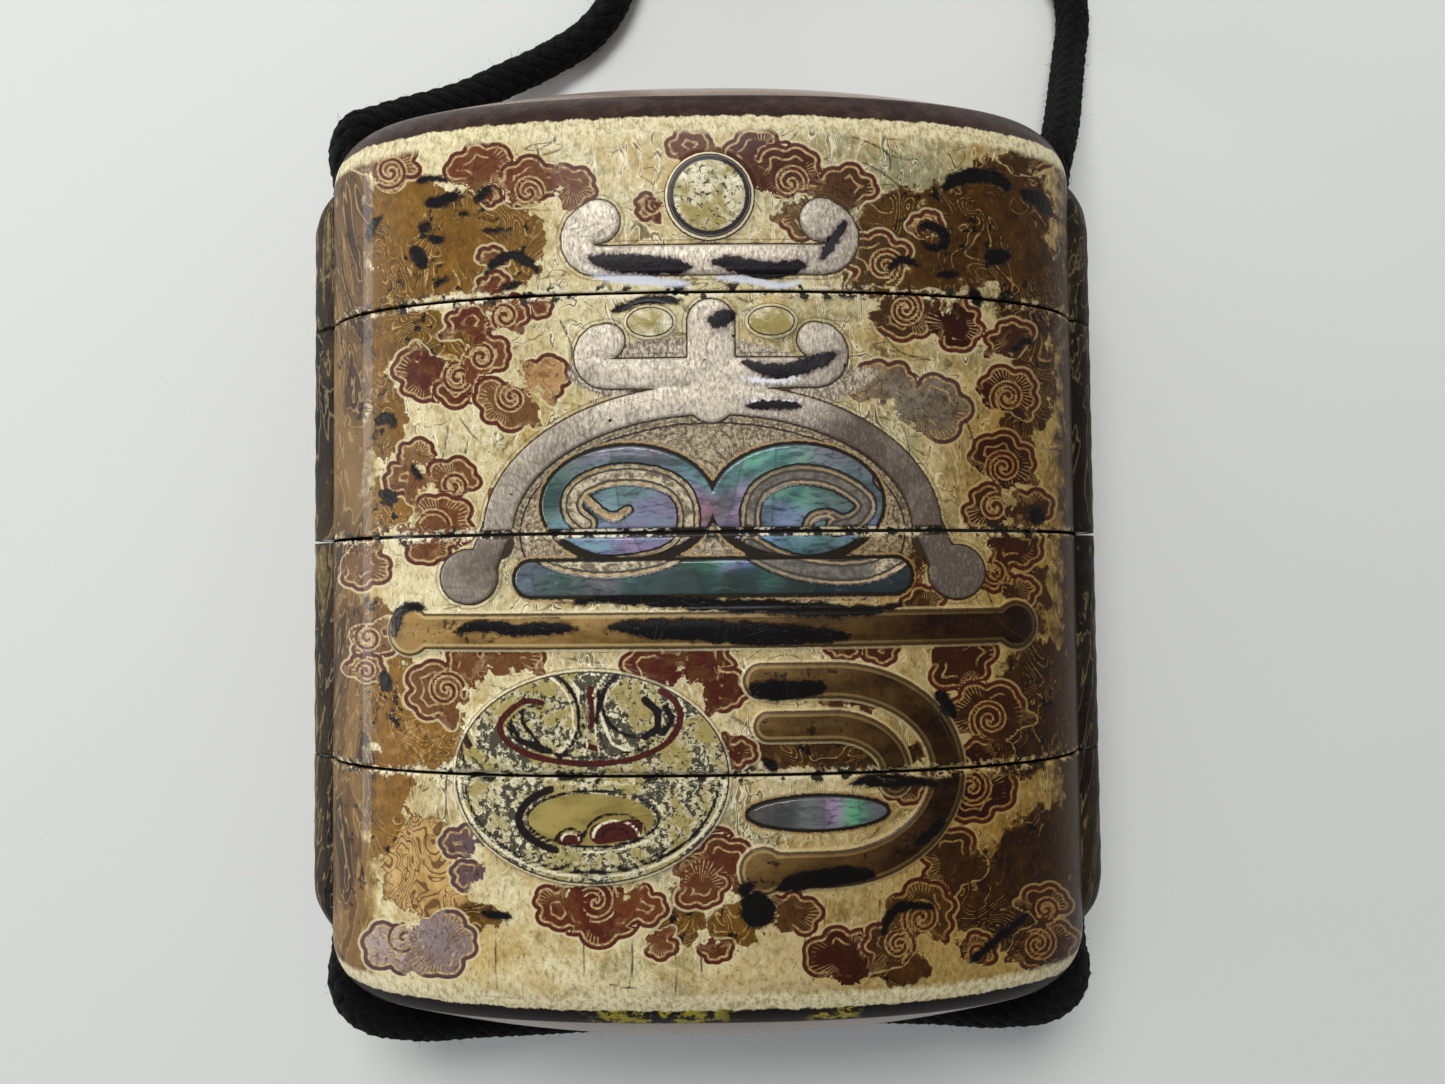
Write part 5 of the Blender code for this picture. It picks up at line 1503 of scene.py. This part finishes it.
def add_inlay(name, node, shape, section, top, step, material):
    """A thin plate that follows the front inside a shape, with softly rounded edges."""
    start, stop = SECTIONS[section][0] + INLAY_GAP, SECTIONS[section][1] - INLAY_GAP
    probe_x, probe_y = np.arange(-26, 26, 0.25), np.arange(start, stop + 0.25, 0.25)
    probe = np.stack(np.meshgrid(probe_x, probe_y), axis=-1).reshape(-1, 2)
    inside = probe[shape(probe) < 0.3]
    low, high = inside.min(0) - 0.3, inside.max(0) + 0.3
    low[1], high[1] = max(low[1], start), min(high[1], stop)
    sides = [
        np.linspace(low[axis], high[axis], round((high[axis] - low[axis]) / step) + 1) for axis in (0, 1)]
    grid = np.stack(np.meshgrid(*sides), axis=-1)
    flat = grid.reshape(-1, 2)
    away = shape(flat)
    to_seam = np.minimum(flat[:, 1] - start, stop - flat[:, 1])
    edge = ramp(away, 0.06, -0.14) * ramp(to_seam, -0.05, 0.15)
    rise = -INLAY_SUNK + (top + INLAY_SUNK) * edge + 0.05 * ramp(away, -0.2, -1.0)
    height = front_height(flat) + rise
    places = np.stack([flat[:, 0], flat[:, 1], height], axis=1).reshape(*grid.shape[:2], 3)
    obj = wrap_grid(name, places)
    pick(obj)
    bpy.ops.object.mode_set(mode="EDIT")
    bpy.ops.mesh.select_all(action="DESELECT")
    bpy.ops.object.mode_set(mode="OBJECT")
    far = shape(points_of(obj)[:, :2]) > 0.14
    obj.data.vertices.foreach_set("select", far)
    bpy.ops.object.mode_set(mode="EDIT")
    bpy.ops.mesh.delete(type="VERT")
    bpy.ops.object.mode_set(mode="OBJECT")
    thicken(obj, INLAY_THICKNESS)
    inlay_paint(obj, shape)
    finish_piece(obj, material)
    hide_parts(node)


# Cord: the spacing of its fibres and of its stray hairs, the hairs' radius, and the tie's steps
FIBRE_SPACING, HAIR_SPACING, HAIR_RADIUS, TIE_STEPS = 0.0004, 0.00014, 0.000013, 45


def smooth_route(route, spacing=0.0005):
    """Points close together on a smooth curve through a route."""
    guide = bpy.data.curves.new("route_guide", "CURVE")
    guide.dimensions, guide.resolution_u = "3D", 32
    spline = guide.splines.new("BEZIER")
    spline.bezier_points.add(len(route) - 1)
    for point, place in zip(spline.bezier_points, route):
        point.co = place
        point.handle_left_type = point.handle_right_type = "AUTO"
    obj = bpy.data.objects.new("route_guide", guide)
    bpy.context.scene.collection.objects.link(obj)
    bpy.context.view_layer.update()
    fine = np.array([vert.co[:] for vert in obj.to_mesh().vertices])
    obj.to_mesh_clear()
    bpy.data.objects.remove(obj)
    run = run_along(fine)
    at = np.linspace(0, run[-1], max(round(run[-1] / spacing), 2) + 1)
    return np.stack([np.interp(at, run, fine[:, axis]) for axis in range(3)], axis=1)


def frames_along(path):
    """Two directions across a path at each point, without twist."""
    tangent = np.gradient(path, axis=0)
    tangent /= np.linalg.norm(tangent, axis=1, keepdims=True)
    first = np.cross(tangent[0], (0.0, 0.0, 1.0) if abs(tangent[0][2]) < 0.9 else (1.0, 0.0, 0.0))
    firsts = []
    for along in tangent:
        first = first - along * (first @ along)
        first = first / np.linalg.norm(first)
        firsts.append(first)
    firsts = np.array(firsts)
    return tangent, firsts, np.cross(tangent, firsts)


def tube(path, radius_across, radius_out, out, sides):
    """Rings of a flattened tube along a path. Out is the direction of its short way."""
    tangent = np.gradient(path, axis=0)
    tangent /= np.linalg.norm(tangent, axis=1, keepdims=True)
    across = np.cross(tangent, out)
    across /= np.maximum(np.linalg.norm(across, axis=1, keepdims=True), 1e-9)
    rings = []
    for side in range(sides):
        angle = 2 * math.pi * side / sides
        rings.append(path + across * (radius_across * math.cos(angle)) + out * (radius_out * math.sin(angle)))
    return np.stack(rings, axis=1)


def tube_faces(rings, start):
    """Faces of a tube with closed ends, whose first point has the number start."""
    count, sides = rings.shape[:2]
    index = start + np.arange(count * sides).reshape(count, sides)
    low, high = index[:-1], index[1:]
    quads = np.stack([low, np.roll(low, -1, 1), np.roll(high, -1, 1), high], axis=-1).reshape(-1, 4)
    return quads.tolist() + [index[0][::-1].tolist(), index[-1].tolist()]


def run_along(path):
    """How far along a path each of its points lies."""
    return np.concatenate([[0], np.cumsum(np.linalg.norm(np.diff(path, axis=0), axis=1))])


def add_braid(name, route, cord, seed, scale=1.0):
    """A round braid of flattened strands that go over and under each other, with stray fibres."""
    path = smooth_route(route)
    tangent, first, second = frames_along(path)
    run = run_along(path)
    radius, pitch, count = cord.diameter / 2 * scale, cord.pitch * scale, cord.strands
    verts, faces, fibre = [], [], []
    total = 0

    def keep(rings, along):
        nonlocal total
        count, sides = rings.shape[:2]
        verts.append(rings.reshape(-1, 3))
        faces.extend(tube_faces(rings, total))
        fibre.append(np.repeat(np.broadcast_to(along, count), sides))
        total += count * sides

    for hand in (1, -1):
        for strand in range(count):
            angle = hand * 2 * math.pi * run / pitch + 2 * math.pi * strand / count
            sway = hand * np.cos(2 * math.pi * count * run / pitch)
            out = first * np.cos(angle)[:, None] + second * np.sin(angle)[:, None]
            middle = path + out * (radius * (0.84 + 0.06 * sway))[:, None]
            keep(
                tube(middle, radius * 2.5 / count, radius * 0.17, out, 6),
                run / FIBRE_SPACING + strand * 0.37)
    core = path[::2]
    keep(tube(core, radius * 0.80, radius * 0.80, frames_along(core)[1], 8), 0.0)
    random = np.random.default_rng(seed)
    for _ in range(int(run[-1] / HAIR_SPACING)):
        at = random.integers(2, len(path) - 3)
        angle = random.uniform(0, 2 * math.pi)
        out = first[at] * math.cos(angle) + second[at] * math.sin(angle)
        side = np.cross(tangent[at], out)
        start = path[at] + out * radius * 0.90
        reach = random.uniform(0.00015, 0.00075)
        lean = tangent[at] * random.uniform(-1.2, 1.2) + side * random.uniform(-0.9, 0.9)
        bend = random.normal(0, 0.35, 3)
        middle = start + (out * 0.5 + lean * 0.5) * reach
        hair = np.array([start, middle, start + (out * 0.8 + lean + bend) * reach])
        hair[:, 2] = np.maximum(hair[:, 2], 0.00004)
        keep(tube(hair, HAIR_RADIUS, HAIR_RADIUS, np.tile(out, (3, 1)) + 0.001, 3), 0.0)
    mesh = bpy.data.meshes.new(name)
    mesh.from_pydata(np.concatenate(verts).tolist(), [], faces)
    mesh.update()
    obj = bpy.data.objects.new(name, mesh)
    bpy.context.scene.collection.objects.link(obj)
    store(obj, "fibre", np.concatenate(fibre))
    close_up(obj, merge=False)
    return obj, path


def on_coil(radius, turn, z):
    """A place on the coil, at an angle in radians."""
    return (COIL_CENTRE[0] + radius * math.cos(turn), COIL_CENTRE[1] + radius * math.sin(turn), z)


def coil_route(start, radius):
    """One turn round the coil, clockwise from above, and in to the knot."""
    turn = [on_coil(radius, math.radians(angle), CORD_Z) for angle in range(180, -120, -15)]
    inwards = (COIL_CENTRE[0] - radius * 0.62, COIL_CENTRE[1] - radius * 0.70, 0.0018)
    end = on_coil(COIL_INSIDE - 0.0030, KNOT_TURN, 0.0027)
    return start + [(start[-1][0], 0.0790, CORD_Z)] + turn + [inwards, end]


def tie_route():
    """Three turns round both strands, side by side."""
    middle = Vector(on_coil(COIL_INSIDE - 0.00425, KNOT_TURN, 0.0031))
    along = Vector((-math.sin(KNOT_TURN), math.cos(KNOT_TURN), 0))
    across = Vector((math.cos(KNOT_TURN), math.sin(KNOT_TURN), 0))
    winding = []
    for share in (step / TIE_STEPS for step in range(TIE_STEPS + 1)):
        angle = share * 3.1 * 2 * math.pi
        where = middle + along * (0.0031 * (share * 2 - 1))
        where += across * 0.0026 * math.cos(angle) + Vector((0, 0, 0.0015)) * math.sin(angle)
        winding.append(tuple(where))
    return winding


def guide(path):
    """Enough of a path's points to lay a cord along."""
    return [tuple(point) for point in [*path[:: max(len(path) // 150, 1)].tolist(), path[-1].tolist()]]


# Operators


class INRO_OT_coats(bpy.types.Operator):
    """Cover the four sections with painted lacquer"""

    bl_idname = "inro.coats"
    bl_label = "Lacquer coats"

    def execute(self, context):
        sizes = context.scene.inro_lacquer
        material = painted_lacquer(sizes)
        for name in SECTIONS:
            finish_piece(add_coat(name, sizes), material)
        inside = inner_lacquer()
        for name in SECTIONS:
            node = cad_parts[name]
            node.data.materials.clear()
            node.data.materials.append(inside)
        return {"FINISHED"}


class INRO_OT_runners(bpy.types.Operator):
    """Cover both cord runners, section by section"""

    bl_idname = "inro.runners"
    bl_label = "Cord runners"

    def execute(self, context):
        sizes = context.scene.inro_lacquer
        material = runner_lacquer(sizes)
        coat = sizes.coat / MM
        for name in SECTIONS:
            for sign, side in ((LEFT, "left"), (RIGHT, "right")):
                piece = wrap_grid(f"{name}_runner_{side}", runner_places(runner_rows(name), sign, coat))
                close_up(piece)
                thicken(piece, RUNNER_SKIN)
                if name in END_SECTIONS:
                    close_up(piece)
                cut_channels(piece)
                finish_piece(piece, material)
        return {"FINISHED"}


class INRO_OT_pewter(bpy.types.Operator):
    """Set the pewter inlays"""

    bl_idname = "inro.pewter"
    bl_label = "Pewter inlays"

    def execute(self, context):
        inlay = context.scene.inro_inlay
        material = worn_pewter(inlay)
        for name, node, shape, section in (
                ("pewter_bracket_plate", "lid_pewter_bracket", bracket_shape, "lid"),
                ("pewter_arch_plate", "pewter_arch", arch_shape, "upper_case"),
                ("pewter_left_foot_plate", "pewter_foot_left", foot_shape(LEFT), "middle_case"),
                ("pewter_right_foot_plate", "pewter_foot_right", foot_shape(RIGHT), "middle_case")):
            add_inlay(name, node, shape, section, inlay.pewter_top / MM, inlay.step / MM, material)
        return {"FINISHED"}


class INRO_OT_shell(bpy.types.Operator):
    """Set the shell inlays"""

    bl_idname = "inro.shell"
    bl_label = "Shell inlays"

    def execute(self, context):
        inlay = context.scene.inro_inlay
        material = shell_inlay()
        for name, node, shape, section, higher in (
                ("shell_lobes", "nacre_double_lobe", lobes_shape, "upper_case", 0.0),
                ("shell_strip", "nacre_strip", strip_shape, "middle_case", 0.0),
                ("shell_oval", "nacre_oval", small_oval_shape, "lower_case", 0.1)):
            top = inlay.nacre_top / MM + higher
            add_inlay(name, node, shape, section, top, inlay.step / MM, material)
        return {"FINISHED"}


class INRO_OT_cord(bpy.types.Operator):
    """Braid the cord, its coil and its knot"""

    bl_idname = "inro.cord"
    bl_label = "Cord"

    def execute(self, context):
        cord = context.scene.inro_cord
        material = black_yarn(cord)
        left, left_path = add_braid("cord_strand_left", coil_route(LEFT_ROUTE, LEFT_COIL), cord, 3)
        right, right_path = add_braid("cord_strand_right", coil_route(RIGHT_ROUTE, RIGHT_COIL), cord, 5)
        base, base_path = add_braid("cord_under_base", BASE_ROUTE, cord, 7)
        for piece in (left, right, base):
            finish_piece(piece, material)
        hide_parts("cord_left", "cord_coil")
        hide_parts("cord_right")
        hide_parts("cord_base_loop")
        knot, _ = add_braid("cord_tie", tie_route(), cord, 9, 0.98)
        finish_piece(knot, material)
        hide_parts("cord_knot")

        def measure(path):
            return float(run_along(path)[-1])

        measure(left_path)
        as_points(guide(left_path))
        measure(right_path)
        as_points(guide(right_path))
        measure(base_path)
        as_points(guide(base_path))
        return {"FINISHED"}


class INRO_OT_stage(bpy.types.Operator):
    """Set the floor, the lights and the camera"""

    bl_idname = "inro.stage"
    bl_label = "Stage"

    def execute(self, context):
        stage = context.scene.inro_stage
        deselect()
        bpy.ops.mesh.primitive_plane_add(size=3.0, location=(0, 0, -0.00005))
        floor = context.active_object
        floor.name = "floor"
        bpy.ops.object.transform_apply(location=True)
        make = Recipe("pale_floor")
        colour = make.mix(
            make.noise(30, 4.0), tuple(stage.floor), tuple(value * 0.97 for value in stage.floor))
        floor.data.materials.append(make.finish(colour, 0.85))

        world = context.scene.world or bpy.data.worlds.new("world")
        context.scene.world = world
        world.use_nodes = True
        sky = world.node_tree.nodes["Background"]
        sky.inputs["Color"].default_value = (0.93, 0.96, 1.0, 1.0)
        sky.inputs["Strength"].default_value = stage.sky

        def area(name, place, towards, size, power, colour):
            lamp = bpy.data.lights.new(name, "AREA")
            lamp.shape, lamp.size, lamp.size_y = "RECTANGLE", size[0], size[1]
            lamp.energy, lamp.color = power, colour
            obj = bpy.data.objects.new(name, lamp)
            context.scene.collection.objects.link(obj)
            obj.location = place
            obj.rotation_euler = (Vector(towards) - Vector(place)).to_track_quat("-Z", "Y").to_euler()

        area("main", (-0.06, 0.24, 0.40), (0, 0, 0.01), (0.24, 0.16), stage.main, (1.0, 0.99, 0.965))
        area("window", (-0.40, 0.04, 0.055), (0, 0, 0.01), (0.30, 0.05), stage.window, (0.96, 0.98, 1.0))

        camera = bpy.data.cameras.new("camera")
        camera.sensor_fit, camera.sensor_width = "HORIZONTAL", SENSOR
        camera.lens = FOCAL * SENSOR / FRAME_WIDTH
        camera.clip_start = 0.001
        eye = bpy.data.objects.new("camera", camera)
        context.scene.collection.objects.link(eye)
        eye.matrix_world = Matrix.Translation(Vector(EYE * MM)) @ EYE_TURN
        context.scene.camera = eye
        context.scene.view_settings.view_transform = "Standard"
        return {"FINISHED"}


class INRO_PT_panel(bpy.types.Panel):
    """The pieces and finishes of the inro case"""

    bl_label = "Inro case"
    bl_idname = "INRO_PT_panel"
    bl_space_type = "VIEW_3D"
    bl_region_type = "UI"
    bl_category = "Inro"

    def draw(self, context):
        for group, operators in PANEL_ROWS:
            box = self.layout.box()
            settings = getattr(context.scene, group)
            for name in settings.__annotations__:
                box.prop(settings, name)
            for operator in operators:
                box.operator(operator.bl_idname)


PANEL_ROWS = [
    ("inro_lacquer", [INRO_OT_coats, INRO_OT_runners]),
    ("inro_inlay", [INRO_OT_pewter, INRO_OT_shell]),
    ("inro_cord", [INRO_OT_cord]),
    ("inro_stage", [INRO_OT_stage]),
]
GROUPS = {
    "inro_lacquer": InroLacquer, "inro_inlay": InroInlay, "inro_cord": InroCord, "inro_stage": InroStage}
CLASSES = [
    *GROUPS.values(), INRO_OT_coats, INRO_OT_runners, INRO_OT_pewter, INRO_OT_shell, INRO_OT_cord,
    INRO_OT_stage, INRO_PT_panel]


def register():
    for cls in CLASSES:
        bpy.utils.register_class(cls)
    for name, group in GROUPS.items():
        setattr(bpy.types.Scene, name, bpy.props.PointerProperty(type=group))


def unregister():
    for name in GROUPS:
        delattr(bpy.types.Scene, name)
    for cls in reversed(CLASSES):
        bpy.utils.unregister_class(cls)


def main():
    register()
    deselect()
    bpy.ops.inro.stage()
    bpy.ops.inro.cord()
    bpy.ops.inro.coats()
    bpy.ops.inro.runners()
    bpy.ops.inro.pewter()
    bpy.ops.inro.shell()
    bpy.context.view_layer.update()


if __name__ == "__main__":
    main()
